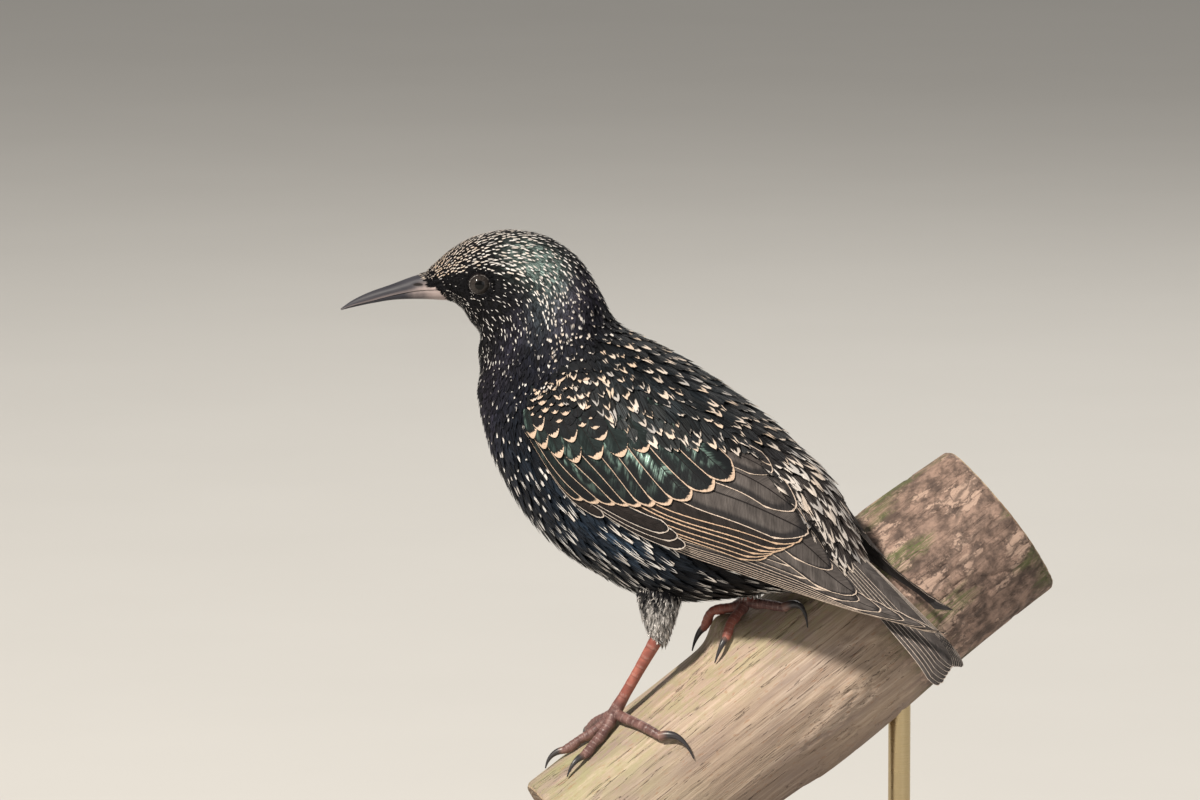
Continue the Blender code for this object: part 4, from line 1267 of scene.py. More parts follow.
def quill_finish():
    """Flight feathers and coverts: barbs, a pale rim, a dark end and a green gloss, with painted mint highlights in the
    green.
    """
    material, nodes, shader = finish("wing and tail feathers", (0.03, 0.03, 0.03), 0.42, Specular_IOR_Level=0.12)
    across, along = nodes.along_vane()
    gloss = nodes.read("gloss")
    seed = gloss["Alpha"]
    rim, rim_width, warmth = nodes.split(nodes.read("edge")["Vector"])[0:3]
    run, tint, dark_end = nodes.split(nodes.read("form")["Vector"])[0:3]
    aside = nodes.math("ABSOLUTE", nodes.math("MULTIPLY_ADD", across, 2.0, -1.0))
    slant = nodes.math("MULTIPLY_ADD", aside, -3.0, run)
    barbs = nodes.noise(
        nodes.vector(nodes.math("MULTIPLY", slant, 2.2), nodes.math("MULTIPLY", aside, 0.5),
                     nodes.math("MULTIPLY", seed, 91.0)), 1.0, 2.0,
    )
    broad = nodes.noise(
        nodes.vector(nodes.math("MULTIPLY", slant, 0.35), nodes.math("MULTIPLY", across, 3.0),
                     nodes.math("MULTIPLY", seed, 37.0)), 1.0, 2.0,
    )
    lines = nodes.math("SINE", nodes.math("MULTIPLY", slant, 14.0))
    tone = nodes.math("MULTIPLY", nodes.remap(barbs, 0.3, 0.7, 0.78, 1.22), nodes.remap(broad, 0.3, 0.7, 0.70, 1.35))
    tone = nodes.math("MULTIPLY", tone, nodes.remap(lines, -1.0, 1.0, 0.94, 1.06))
    vane = nodes.mix(1.0, gloss["Color"], nodes.vector(tone, tone, tone), "MULTIPLY")
    strip = nodes.math("MULTIPLY_ADD", tint, 0.65, 0.18)
    patch = nodes.math("MULTIPLY", nodes.step(broad, 0.40, 0.66), nodes.step(nodes.math("SUBTRACT", strip, across), -0.10, 0.12))
    patch = nodes.math("MULTIPLY", patch, nodes.step(barbs, 0.30, 0.62))
    patch = nodes.math("MULTIPLY", patch, nodes.step(rim, 0.3, 1.2))
    patch = nodes.math("MULTIPLY", patch, nodes.math("MINIMUM", nodes.math("MULTIPLY", tint, 1.6), 1.0))
    # Painted highlight: pale mint glints in the green patches where the broad noise is high
    painted_glint = nodes.math("MULTIPLY", nodes.step(broad, 0.42, 0.60), nodes.step(tint, 0.2, 0.8))
    vane = nodes.mix(patch, vane, nodes.mix(painted_glint, (0.022, 0.040, 0.039), (0.270, 0.400, 0.345)))
    shaft = nodes.step(aside, 0.015, 0.05)
    vane = nodes.mix(shaft, (0.012, 0.010, 0.010), vane)
    ragged = nodes.math("ADD", rim, nodes.math("MULTIPLY_ADD", barbs, 0.5, -0.25))
    ending = nodes.step(nodes.math("DIVIDE", ragged, nodes.math("MAXIMUM", dark_end, 0.01)), 0.55, 1.1)
    vane = nodes.mix(ending, nodes.mix(0.75, vane, (0.008, 0.008, 0.010)), vane)
    pale = nodes.mix(warmth, (0.74, 0.71, 0.68), (0.60, 0.42, 0.29))
    pale = nodes.mix(nodes.remap(barbs, 0.3, 0.7, 0.0, 0.4), pale, (0.22, 0.16, 0.12))
    fine = nodes.math("ADD", rim, nodes.math("MULTIPLY", nodes.math("SUBTRACT", barbs, 0.5), rim_width))
    inside = nodes.step(nodes.math("SUBTRACT", fine, rim_width), -0.04, 0.06)
    near_edge = nodes.math("MAXIMUM", nodes.step(aside, 0.62, 0.66), nodes.step(along, 0.74, 0.80))
    inside = nodes.math("MAXIMUM", inside, nodes.math("SUBTRACT", 1.0, near_edge))
    nodes.put(shader.inputs["Base Color"], nodes.mix(inside, pale, vane))
    glossy = nodes.math("MULTIPLY", inside, nodes.math("MULTIPLY_ADD", patch, 0.55, 0.02))
    nodes.put(shader.inputs["Metallic"], glossy)
    nodes.put(shader.inputs["Roughness"], nodes.remap(glossy, 0.0, 0.7, 0.62, 0.34))
    height = nodes.math("ADD", barbs, nodes.math("MULTIPLY", lines, 0.25))
    height = nodes.math("ADD", height, nodes.math("MULTIPLY", shaft, -0.6))
    nodes.put(shader.inputs["Normal"], nodes.bump(height, 0.00012, 0.8))
    return material


BROWN = (0.021, 0.017, 0.016)
GREY_BROWN = (0.076, 0.066, 0.062)
TAIL_BROWN = (0.085, 0.074, 0.070)
DARK = (0.009, 0.010, 0.012)
GREENISH = (0.010, 0.016, 0.016)

# (feathers, height of the lowest, step up to the next, rows, columns, tip roundness, tilt, drop at
# the root, colour, kind of pale tip, its width, its warmth, green share, dark end)
WING_GROUPS = (
    (PRIMARIES, -1.32, 0.075, 26, 9, 1.6, 0.03, 0.3, GREY_BROWN, "rim", 0.14, 0.60, 0.0, 0.8),
    (SECONDARIES, -0.48, 0.080, 22, 9, 1.5, 0.04, 0.3, BROWN, "rim", 0.26, 1.0, 0.0, 0.7),
    (TERTIALS, 0.05, 0.11, 20, 11, 1.3, 0.03, 0.3, GREY_BROWN, "rim", 0.22, 0.6, 0.22, 2.4),
    (PRIMARY_COVERTS, -0.30, 0.12, 12, 9, 1.2, 0.03, 0.3, BROWN, "rim", 0.16, 0.35, 0.0, 0.9),
    (GREATER_COVERTS, 0.05, 0.07, 14, 11, 1.1, 0.05, 0.5, GREENISH, "tipped", 0.17, 0.85, 1.0, 2.0),
    (MEDIAN_COVERTS, 0.65, 0.04, 10, 11, 1.0, 0.03, 0.8, GREENISH, "chevron", 0.46, 0.85, 0.6, 0.8),
    (UPPER_MEDIAN_COVERTS, 0.85, 0.04, 10, 11, 1.0, 0.02, 0.9, DARK, "chevron", 0.44, 0.75, 0.35, 0.8),
    (lesser_coverts(), 0.90, 0.006, 9, 11, 1.0, 0.02, 2.0, DARK, "spot", 0.44, 0.75, 0.3, 0.5),
)


def make_wing(name, sheet, seed, material):
    order = np.random.default_rng(seed)
    coat = QuillCoat("feathers_" + name, material, "flight_feathers", sum(len(group[0]) for group in WING_GROUPS))
    for (specs, low, rise, rows, columns, tip, tilt, drop, colour, tip_mark, rim, warmth, tint,
            dark_end) in WING_GROUPS:
        for index, spec in enumerate(specs):
            quill = Quill(sheet, spec, low + rise * index, rows, columns, tip, tilt, drop, order, tip_mark)
            width = rim * (order.choice((0.0, 0.6, 1.0, 1.2)) if tip_mark == "spot" else order.uniform(0.85, 1.15))
            coat.add(quill, colour, width, warmth, tint * order.uniform(0.25, 1.0), dark_end)
    piece = coat.build()
    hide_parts(name)


TAIL_RIDGE = np.array((
    (74.0, -34.5, 7.5, 1.0), (86.0, -45.5, 9.5, 1.5), (97.0, -56.2, 10.5, 2.0),
    (107.5, -67.0, 11.3, 2.2), (112.6, -74.4, 11.8, 1.8),
))
TAIL_SWAY = -1.4
TAIL_FEATHERS = 6
TAIL_THICK = 1.3


def tail_points(along, across):
    """The tail's top: along from its root at 0 to the tips at 1, across from -1 to 1."""
    x, up, half, droop = np.moveaxis(eased(TAIL_RIDGE, along * (len(TAIL_RIDGE) - 1)), -1, 0)
    return posed(x, across * half + TAIL_SWAY * along, up - droop * across ** 2)


def make_tail(material):
    sheet = Sheet(tail_points, (-0.05, -1.5), (1.1, 1.5), (93, 61))
    if np.sum(sheet.normals[..., 2]) < 0:
        sheet.outward = -1.0
        sheet.measure()
    order = np.random.default_rng(31)
    coat = QuillCoat("feathers_tail", material, "flight_feathers", 2 * TAIL_FEATHERS)
    for layer, number in enumerate(reversed(range(TAIL_FEATHERS))):
        for side in (-1, 1):
            place = side * (number + 0.5) / TAIL_FEATHERS
            half = 3.5 - 0.12 * number
            spec = (0.0, place * 0.45, 0.55, place * 0.62, 1.0 - 0.012 * abs(number - 4), place * 0.74, half)
            quill = Quill(
                sheet, spec, -TAIL_THICK + 0.30 * layer, 22, 9, 2.0, 0.0, 0.0, order, "rim", centred=True,
                slope=-0.04 * side,
            )
            coat.add(quill, TAIL_BROWN, 0.20, 0.45, 0.0, 0.4)
    piece = coat.build()
    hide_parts("tail")


def make_thigh_coat(thighs, material):
    """Small whitish feathers down each thigh, ending in a ragged cuff over the shank."""
    order = np.random.default_rng(41)
    coat = Coat("feathers_thighs", material, "plumage")
    templates = [Template(6, 7, 0.45, 1.3, 0.20, seed) for seed in (51, 52, 53)]
    for side, sheet in thighs.items():
        last = len(THIGHS[side]) - 1
        roots = tract_roots(sheet, lambda a, t: np.full_like(a, 1.0), 0.85, 0.45, last - 0.25)
        count = len(roots)
        first, second = roots[:, 0], roots[:, 1]
        length = order.uniform(3.0, 5.4, count)
        half_width = order.uniform(0.34, 0.58, count)
        heading = order.normal(0, 0.22, count)
        lower = np.clip((first / last + order.normal(0, 0.08, count) - 0.22) / 0.22, 0, 1)[:, None]
        pale_tone = np.array((0.56, 0.53, 0.51)) * order.uniform(0.16, 1.15, (count, 1))
        tone = BLACK * 2.0 * (1 - lower) + pale_tone * lower
        gloss = np.concatenate([tone, order.uniform(0, 1, (count, 1))], 1)
        mark = np.stack([
            order.uniform(0.45, 0.95, count), order.uniform(0.3, 0.8, count), order.uniform(0.1, 0.4, count),
            order.uniform(0.0, 0.3, count),
        ], -1)
        bake = skin_map(side, second, first / last)
        kind = order.integers(0, len(templates), count)
        for index, template in enumerate(templates):
            at = kind == index
            points = lay(
                sheet, template, roots[at], heading[at], length[at], half_width[at],
                np.full(at.sum(), -0.9), order.uniform(-0.1, 0.35, at.sum()),
            )
            coat.add(template, points, bake[at], gloss=gloss[at], mark=mark[at])
    coat.build()


# Lofts, for what is not feathered

def loft(shape, rings, reach=1.0):
    """Adds a closed skin round rings of points, in mm, with their turn and share along as its map.
    Reach is how far along the map goes."""
    count, sides = rings.shape[:2]
    made = bmesh.ops.create_grid(shape, x_segments=sides, y_segments=count - 1, size=0.5)["verts"]
    shape.verts.index_update()
    spots = {}
    for vert in made:
        column = int(round((vert.co.x + 0.5) * sides))
        row = int(round((vert.co.y + 0.5) * (count - 1)))
        spots[vert] = (column, row)
    layer = shape.loops.layers.uv.get("run") or shape.loops.layers.uv.new("run")
    for face in {face for vert in made for face in vert.link_faces}:
        for loop in face.loops:
            column, row = spots[loop.vert]
            loop[layer].uv = (column / sides, reach * row / (count - 1))
    for vert, (column, row) in spots.items():
        vert.co = Vector(rings[row, column % sides]) * MM
    ends = [
        edge for edge in {edge for vert in made for edge in vert.link_edges}
        if edge.is_boundary and len({spots[vert][1] for vert in edge.verts}) == 1
    ]
    bmesh.ops.remove_doubles(shape, verts=made, dist=1e-7)
    open_edges = [edge for edge in shape.edges if edge.is_boundary]
    bmesh.ops.holes_fill(shape, edges=open_edges, sides=0)
    return shape


def tube_rings(points, guides, radius, turns=20, rings=60):
    """Rings along a smooth path. Radius is a function of (share, turn), turn 0 towards the guide."""
    places = np.linspace(0, len(points) - 1, rings)
    line = eased(np.asarray(points, float), places)
    guide = eased(np.asarray(guides, float), places)
    ahead = np.gradient(line, axis=0)
    ahead /= np.linalg.norm(ahead, axis=1, keepdims=True)
    up = guide - ahead * np.sum(guide * ahead, 1, keepdims=True)
    up /= np.linalg.norm(up, axis=1, keepdims=True)
    across = np.cross(ahead, up)
    share = np.linspace(0, 1, rings)[:, None]
    turn = (np.arange(turns) / turns)[None, :]
    reach = radius(np.broadcast_to(share, (rings, turns)), np.broadcast_to(turn, (rings, turns)))[..., None]
    angle = (2 * math.pi * turn)[..., None]
    return line[:, None, :] + (up[:, None, :] * np.cos(angle) + across[:, None, :] * np.sin(angle)) * reach


# Perch

PERCH_CENTRE = np.array((15.2, 11.0, 84.9))
PERCH_PITCH = math.radians(36.5)
PERCH_TURN = math.radians(13)
PERCH_RADIUS = 23.5
PERCH_LENGTH = 146.0
PERCH_KNOT_ALONG = -5.0
PERCH_KNOT_HEIGHT = 4.0
PERCH_KNOT_LENGTH = 5.0
PERCH_KNOT_SPREAD = math.radians(24)
PERCH_AXIS = np.array((
    math.cos(PERCH_PITCH) * math.cos(PERCH_TURN), math.cos(PERCH_PITCH) * math.sin(PERCH_TURN),
    math.sin(PERCH_PITCH),
))
PERCH_TOP = np.array((0, 0, 1)) - PERCH_AXIS * PERCH_AXIS[2]
PERCH_TOP /= np.linalg.norm(PERCH_TOP)
PERCH_NEAR = np.cross(PERCH_AXIS, PERCH_TOP)


def ripples(along, angle, seed, lengthwise, waves=14):
    """Smooth seeded noise round the branch, about -1 to 1, with features this many mm long."""
    order = np.random.default_rng(seed)
    total = np.zeros(np.broadcast(along, angle).shape)
    for _ in range(waves):
        around = order.integers(2, 15)
        total += np.sin(
            along * order.uniform(-1, 1) * 2 * math.pi / lengthwise + angle * around + order.uniform(0, 6.28)
        )
    return total / math.sqrt(waves / 2)


def perch_radius(along, angle):
    """The branch's radius in mm, as in its solid."""
    swell = 0.7 * np.sin(along * 0.045 + 0.8)
    waves = 0.45 * np.sin(3 * angle + along * 0.05) + 0.3 * np.sin(5 * angle - along * 0.08)
    turn = (np.mod(angle + math.pi, 2 * math.pi) - math.pi) / PERCH_KNOT_SPREAD
    run = (along - PERCH_KNOT_ALONG) / PERCH_KNOT_LENGTH
    return PERCH_RADIUS + swell + waves + PERCH_KNOT_HEIGHT * np.exp(-turn ** 2 - run ** 2)


def perch_point(along, angle, lift=0.0):
    """A point over the branch: mm along it, angle from its top towards the viewer."""
    along, angle = np.asarray(along, float), np.asarray(angle, float)
    outward = PERCH_TOP * np.cos(angle)[..., None] + PERCH_NEAR * np.sin(angle)[..., None]
    return PERCH_CENTRE + PERCH_AXIS * along[..., None] + outward * (perch_radius(along, angle) + lift)[..., None]


def bark_share(along, angle):
    """1 where the branch keeps its bark: its upper end, reaching down its underside."""
    edge = 28.0 - 26.0 * np.clip((np.sin(angle - 0.6) - 0.55) / 0.4, 0, 1) + 6.0 * ripples(along, angle, 3, 30.0)
    edge = edge - 30.0 * np.clip(-np.cos(angle) - 0.2, 0, 1)
    return 1 / (1 + np.exp(-(along - edge) / 0.7))


def make_perch():
    rings, sides = 150, 192
    along = np.linspace(-PERCH_LENGTH / 2, PERCH_LENGTH / 2, rings)[:, None]
    angle = (np.arange(sides) * 2 * math.pi / sides)[None, :]
    along, angle = np.broadcast_arrays(along, angle)
    bark = bark_share(along, angle)
    grooves = np.abs(ripples(along, angle * 3, 8, 60.0))
    lift = -0.35 - 0.18 * (1 - np.clip(grooves * 4, 0, 1)) * (1 - bark)
    plates = np.abs(ripples(along * 1.5, angle * 2, 12, 16.0, 24))
    lift = lift + bark * (0.35 + 0.55 * np.clip(plates * 1.6, 0, 1) - 0.2)
    end = np.abs(along) / (PERCH_LENGTH / 2)
    lift = lift - 0.8 * np.clip((end - 0.985) / 0.015, 0, 1)
    points = perch_point(along, angle, lift)
    shape = loft(bmesh.new(), points)
    perch = mesh_object("branch", shape, perch_finish(), "perch_wood")
    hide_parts("perch")
    return perch


def perch_finish():
    """Weathered bare wood with grain and cracks, and flaking bark with a green tinge."""
    material, nodes, shader = finish("branch", (0.4, 0.33, 0.26), 0.8)
    x, y, z = (nodes.math("MULTIPLY", value, 1000.0) for value in nodes.split(nodes.place())[0:3])

    def along(axis):
        parts = [nodes.math("MULTIPLY", nodes.math("SUBTRACT", value, float(centre)), float(part))
                 for value, centre, part in zip((x, y, z), PERCH_CENTRE, axis)]
        return nodes.math("ADD", nodes.math("ADD", parts[0], parts[1]), parts[2])

    run, up, near = along(PERCH_AXIS), along(PERCH_TOP), along(PERCH_NEAR)
    grain_place = nodes.vector(nodes.math("MULTIPLY", run, 0.025), up, near)
    grain = nodes.noise(grain_place, 0.9, 5.0, 0.65)
    fine = nodes.noise(grain_place, 3.2, 3.0)
    broad = nodes.noise(nodes.vector(nodes.math("MULTIPLY", run, 0.25), up, near), 0.09, 3.0)
    wood = nodes.mix(nodes.step(grain, 0.3, 0.7), (0.28, 0.205, 0.158), (0.51, 0.405, 0.330))
    stain_place = nodes.vector(nodes.math("MULTIPLY", run, 0.12), up, near)
    stain = nodes.step(nodes.noise(stain_place, 0.11, 5.0, 0.65), 0.44, 0.56)
    wood = nodes.mix(nodes.math("MULTIPLY", stain, 0.62), wood, (0.205, 0.152, 0.140))
    wood = nodes.mix(nodes.step(broad, 0.35, 0.65), wood, nodes.mix(0.35, wood, (0.54, 0.40, 0.27)))
    wood = nodes.mix(nodes.remap(fine, 0.3, 0.7, 0.0, 0.22), wood, (0.24, 0.17, 0.12))
    green = nodes.math("MULTIPLY", nodes.step(run, -30.0, -62.0), nodes.step(broad, 0.4, 0.62))
    wood = nodes.mix(nodes.math("MULTIPLY", green, 0.5), wood, (0.30, 0.34, 0.15))
    lichen = nodes.noise(nodes.vector(nodes.math("MULTIPLY", run, 0.5), up, near), 0.45, 4.0, 0.7)
    lichen = nodes.math("MULTIPLY", nodes.step(lichen, 0.44, 0.56), nodes.step(up, 6.0, 19.0))
    wood = nodes.mix(nodes.math("MULTIPLY", lichen, 0.38), wood, (0.27, 0.27, 0.12))
    flecks = nodes.noise(nodes.vector(nodes.math("MULTIPLY", run, 0.3), up, near), 1.3, 3.0, 0.6)
    wood = nodes.mix(nodes.math("MULTIPLY", nodes.step(flecks, 0.60, 0.68), 0.5), wood, (0.30, 0.155, 0.085))
    cracks = nodes.noise(nodes.vector(nodes.math("MULTIPLY", run, 0.03), up, near), 0.35, 4.0, 0.6)
    crack = nodes.step(nodes.math("ABSOLUTE", nodes.math("SUBTRACT", cracks, 0.5)), 0.005, 0.001)
    wood = nodes.mix(nodes.math("MULTIPLY", crack, 0.8), wood, (0.09, 0.06, 0.045))
    bark_tone = nodes.noise(nodes.vector(run, up, near), 0.22, 5.0, 0.65)
    bark = nodes.mix(nodes.step(bark_tone, 0.35, 0.65), (0.085, 0.055, 0.043), (0.30, 0.20, 0.155))
    flakes = nodes.noise(nodes.vector(nodes.math("MULTIPLY", run, 0.6), up, near), 0.14, 6.0, 0.62)
    bark = nodes.mix(nodes.step(flakes, 0.55, 0.59), bark, nodes.mix(fine, (0.46, 0.33, 0.26), (0.30, 0.20, 0.155)))
    bend = nodes.noise(nodes.vector(run, up, near), 0.16, 4.0, 0.6)
    plates_edge = nodes.add("TexVoronoi", feature="DISTANCE_TO_EDGE")
    bent = nodes.vector(
        nodes.math("MULTIPLY_ADD", bend, 9.0, nodes.math("MULTIPLY", run, 0.32)),
        nodes.math("MULTIPLY_ADD", bend, 14.0, up), nodes.math("MULTIPLY_ADD", bend, -12.0, near),
    )
    nodes.put(plates_edge.inputs["Vector"], bent)
    nodes.put(plates_edge.inputs["Scale"], 0.26)
    furrow = nodes.math("MULTIPLY", nodes.step(plates_edge.outputs["Distance"], 0.16, 0.0), nodes.step(flakes, 0.35, 0.60))
    bark = nodes.mix(nodes.math("MULTIPLY", furrow, 0.75), bark, (0.055, 0.036, 0.029))
    moss = nodes.math("MULTIPLY", nodes.step(broad, 0.50, 0.60), nodes.step(fine, 0.35, 0.60))
    bark = nodes.mix(nodes.math("MULTIPLY", moss, 0.85), bark, (0.085, 0.105, 0.030))
    surface = nodes.mix(nodes.step(run, 22.0, 32.0), wood, bark)
    from_axis = nodes.math("SQRT", nodes.math("ADD", nodes.math("MULTIPLY", up, up), nodes.math("MULTIPLY", near, near)))
    wavy = nodes.noise(nodes.vector(0.0, up, near), 0.10, 3.0)
    rings = nodes.math("SINE", nodes.math("MULTIPLY", nodes.math("MULTIPLY_ADD", wavy, 3.0, from_axis), 4.2))
    end_wood = nodes.mix(nodes.step(rings, -0.6, 1.0), (0.40, 0.30, 0.20), (0.24, 0.155, 0.095))
    angle = nodes.math("ARCTAN2", near, up)
    split = nodes.noise(nodes.vector(nodes.math("MULTIPLY", angle, 2.2), 0.0, nodes.math("MULTIPLY", from_axis, 0.04)), 2.4, 2.0)
    split = nodes.step(nodes.math("ABSOLUTE", nodes.math("SUBTRACT", split, 0.5)), 0.012, 0.003)
    end_wood = nodes.mix(nodes.math("MULTIPLY", split, 0.8), end_wood, (0.07, 0.045, 0.03))
    cut = nodes.step(nodes.math("ABSOLUTE", run), PERCH_LENGTH / 2 - 0.5, PERCH_LENGTH / 2 - 0.15)
    nodes.put(shader.inputs["Base Color"], nodes.mix(cut, surface, end_wood))
    height = nodes.math("ADD", nodes.math("MULTIPLY", grain, 0.6), nodes.math("MULTIPLY", fine, 0.25))
    height = nodes.math("ADD", height, nodes.math("MULTIPLY", crack, -0.7))
    nodes.put(shader.inputs["Normal"], nodes.bump(height, 0.0006, 0.8))
    return material


# Legs, feet and claws

HUB_LIFT = 2.9
HUB_RADIUS = 2.0
TOE_RADIUS = 1.50
TOE_TIP_RADIUS = 1.18
CLAW_RADIUS = 1.15
HIND_CLAW_RADIUS = 1.55
CLAW_TIP_RADIUS = 0.16
CLAW_ARCH = 3.6
CLAW_RISE = 1.9
HIND_CLAW_ARCH = 3.2
HIND_CLAW_RISE = 1.8
HIND_CLAW_SWEEP = 4.6
FEET = {
    "left": {
        "hub": (-43.0, 6.0),
        "toes": {1: (-38.0, 50.0), 2: (-50.0, -30.0), 3: (-60.0, -8.0), 4: (-57.5, 20.0)},
        "claws": {1: (-35.0, 73.0), 2: (-53.0, -46.0), 3: (-66.3, -10.0), 4: (-64.0, 24.0)},
    },
    "right": {
        "hub": (3.5, 9.0),
        "toes": {1: (10.0, 34.0), 2: (-3.0, -32.0), 3: (-9.5, -9.0), 4: (-8.0, 25.0)},
        "claws": {1: (11.0, 52.0), 2: (-7.0, -46.0), 3: (-15.5, -10.0), 4: (-14.0, 29.0)},
    },
}
SHANK_TOPS = {"left": (33.0, -15.0, -64.4), "right": (51.4, 4.6, -55.6)}
SHANK_SCUTES = 9
TOE_SCUTES = {1: 8, 2: 8, 3: 12, 4: 10}
MOST_SCUTES = 12


def plates(share, count, depth):
    """Overlapping plates along a limb: each rises a little and drops at its lower edge."""
    step = np.mod(share * count, 1)
    return depth * (step ** 2 - 1.6 * np.exp(-((step - 1) / 0.09) ** 2) - 0.4 * np.exp(-(step / 0.06) ** 2))


def shank_radius(share, turn):
    profile = np.interp(share, (0, 0.12, 0.3, 0.5, 0.75, 0.88, 0.96, 1.0), (2.0, 1.9, 1.65, 1.5, 1.5, 1.8, 1.8, 1.3))
    front = np.clip(np.cos(2 * math.pi * turn) * 1.6 + 0.3, 0, 1)
    ridge = 0.22 * np.exp(-((np.mod(turn + 0.5, 1) - 1.0) / 0.08) ** 2) + 0.22 * np.exp(-(np.mod(turn + 0.5, 1) / 0.08) ** 2)
    flat = -0.16 * np.sin(2 * math.pi * turn) ** 2
    return profile + front * plates(share, SHANK_SCUTES, 0.07) + ridge + flat


def toe_radius(number):
    def radius(share, turn):
        thick = TOE_RADIUS + (TOE_TIP_RADIUS - TOE_RADIUS) * share
        above = np.clip(np.cos(2 * math.pi * turn) * 1.5 + 0.2, 0, 1)
        joints = 3 if number != 1 else 2
        pads = np.clip(-np.cos(2 * math.pi * turn), 0, 1) * 0.26 * np.cos(2 * math.pi * (share * joints + 0.5))
        wrinkles = np.clip(-np.cos(2 * math.pi * turn) + 0.4, 0, 1) * 0.04 * np.sin(share * 90)
        closing = np.interp(share, (0, 0.03, 0.93, 0.98, 1.0), (0.7, 1, 1, 0.85, 0.45))
        return (thick + above * plates(share, TOE_SCUTES[number], 0.12) + pads + wrinkles) * closing
    return radius


def make_feet():
    material = leg_finish()
    claw_material = claw_finish()
    for side, foot in FEET.items():
        hub_along, hub_angle = foot["hub"]
        hub = perch_point(hub_along, math.radians(hub_angle), HUB_LIFT)
        top = posed(*SHANK_TOPS[side])
        down = (hub - top) / np.linalg.norm(hub - top)
        forward = -PERCH_AXIS
        points = [top, top * 0.66 + hub * 0.34 + down * 0.0, top * 0.33 + hub * 0.67, hub + down * 1.2]
        shape = loft(bmesh.new(), tube_rings(points, [forward] * 4, shank_radius, 24, 90), SHANK_SCUTES / MOST_SCUTES)
        leg = mesh_object("leg " + side, shape, material)
        toes = []
        claws = bmesh.new()
        for number, (tip_along, tip_angle) in foot["toes"].items():
            share = np.linspace(0, 1, 9)
            along = hub_along + (tip_along - hub_along) * share
            angle = np.radians(hub_angle + (tip_angle - hub_angle) * share)
            radius = TOE_RADIUS + (TOE_TIP_RADIUS - TOE_RADIUS) * share
            arch = (HUB_LIFT - radius) * np.maximum(0.0, 1 - 2.2 * share) ** 2
            path = perch_point(along, angle, radius + 0.05 + arch)
            guides = path - PERCH_CENTRE
            guides = guides - np.outer(guides @ PERCH_AXIS, PERCH_AXIS)
            rings = tube_rings(path, guides, toe_radius(number), 20, 80)
            toe = loft(bmesh.new(), rings, TOE_SCUTES[number] / MOST_SCUTES)
            toes.append(mesh_object(f"toe {side} {number}", toe, material))
            heading = path[-1] - path[-2]
            heading /= np.linalg.norm(heading)
            away = guides[-1] / np.linalg.norm(guides[-1])
            root = path[-1] - heading * 0.6
            end_along, end_angle = foot["claws"][number]
            tip = perch_point(end_along, math.radians(end_angle), CLAW_TIP_RADIUS + 0.1)
            if number == 1:
                crest = root + heading * HIND_CLAW_ARCH + away * HIND_CLAW_RISE + PERCH_AXIS * HIND_CLAW_SWEEP
            else:
                crest = root + heading * CLAW_ARCH + away * CLAW_RISE
            curve = np.linspace(0, 1, 9)[:, None]
            line = root * (1 - curve) ** 2 + crest * (2 * curve * (1 - curve)) + tip * curve ** 2
            loft(claws, tube_rings(line, [away] * 9, claw_radius(number), 16, 40))
        union("leg", leg, toes)
        leg.name = "foot_" + side
        place_on_bird(leg)
        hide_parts("shank_" + side, *(f"toe_{side}_{number}" for number in foot["toes"]))
        piece = mesh_object("claws_" + side, claws, claw_material, "claw")
        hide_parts(*(f"claw_{side}_{number}" for number in foot["claws"]))


def claw_radius(number):
    root = HIND_CLAW_RADIUS if number == 1 else CLAW_RADIUS

    def radius(share, turn):
        thick = root + (CLAW_TIP_RADIUS - root) * share ** 1.1
        above = 0.5 + 0.5 * np.cos(2 * math.pi * turn)
        return thick * (0.80 + 0.28 * above) * (1 - 0.12 * np.sin(2 * math.pi * turn) ** 2)

    return radius


def leg_finish():
    material, nodes, shader = finish("leg skin", (0.40, 0.14, 0.10), 0.5)
    turn, share = nodes.split(nodes.add("UVMap", uv_map="run").outputs[0])[0:2]
    blotch = nodes.noise(nodes.place(), 420.0, 4.0)
    fine = nodes.noise(nodes.place(), 2600.0, 2.0)
    ratios = []
    for side, foot in FEET.items():
        top = posed(*SHANK_TOPS[side])
        hub = perch_point(foot["hub"][0], math.radians(foot["hub"][1]), HUB_LIFT)
        away = nodes.add("VectorMath", (nodes.place(), tuple(top * MM)), operation="DISTANCE").outputs["Value"]
        ratios.append(nodes.math("MULTIPLY", away, 1000.0 / float(np.linalg.norm(hub - top))))
    low = nodes.step(nodes.math("MINIMUM", *ratios), 0.70, 0.98)
    shank = nodes.mix(nodes.step(blotch, 0.3, 0.7), (0.23, 0.060, 0.042), (0.36, 0.115, 0.080))
    toes = nodes.mix(nodes.step(blotch, 0.3, 0.7), (0.078, 0.037, 0.035), (0.19, 0.100, 0.088))
    skin = nodes.mix(low, shank, toes)
    skin = nodes.mix(nodes.remap(fine, 0.35, 0.65, 0.0, 0.35), skin, (0.16, 0.08, 0.07))
    step = nodes.math("FRACT", nodes.math("MULTIPLY", share, float(MOST_SCUTES)))
    seam = nodes.step(nodes.math("ABSOLUTE", nodes.math("SUBTRACT", step, 0.97)), 0.06, 0.01)
    front = nodes.step(nodes.math("COSINE", nodes.math("MULTIPLY", turn, 2 * math.pi)), -0.2, 0.3)
    skin = nodes.mix(nodes.math("MULTIPLY", nodes.math("MULTIPLY", seam, front), 0.6), skin, (0.10, 0.045, 0.04))
    # A paler band where each scale stands highest, on the front of the leg, broken up by fine noise
    pale_crest = nodes.math("MULTIPLY", nodes.step(nodes.math("ABSOLUTE", nodes.math("SUBTRACT", step, 0.78)), 0.16, 0.02), front)
    skin = nodes.mix(nodes.math("MULTIPLY", nodes.math("MULTIPLY", pale_crest, nodes.step(fine, 0.35, 0.6)), 0.35), skin, (0.42, 0.30, 0.27))
    nodes.put(shader.inputs["Base Color"], skin)
    nodes.put(shader.inputs["Roughness"], nodes.remap(blotch, 0.3, 0.7, 0.38, 0.6))
    nodes.put(shader.inputs["Normal"], nodes.bump(nodes.math("ADD", fine, nodes.math("MULTIPLY", blotch, 0.5)), 0.0001, 0.8))
    return material


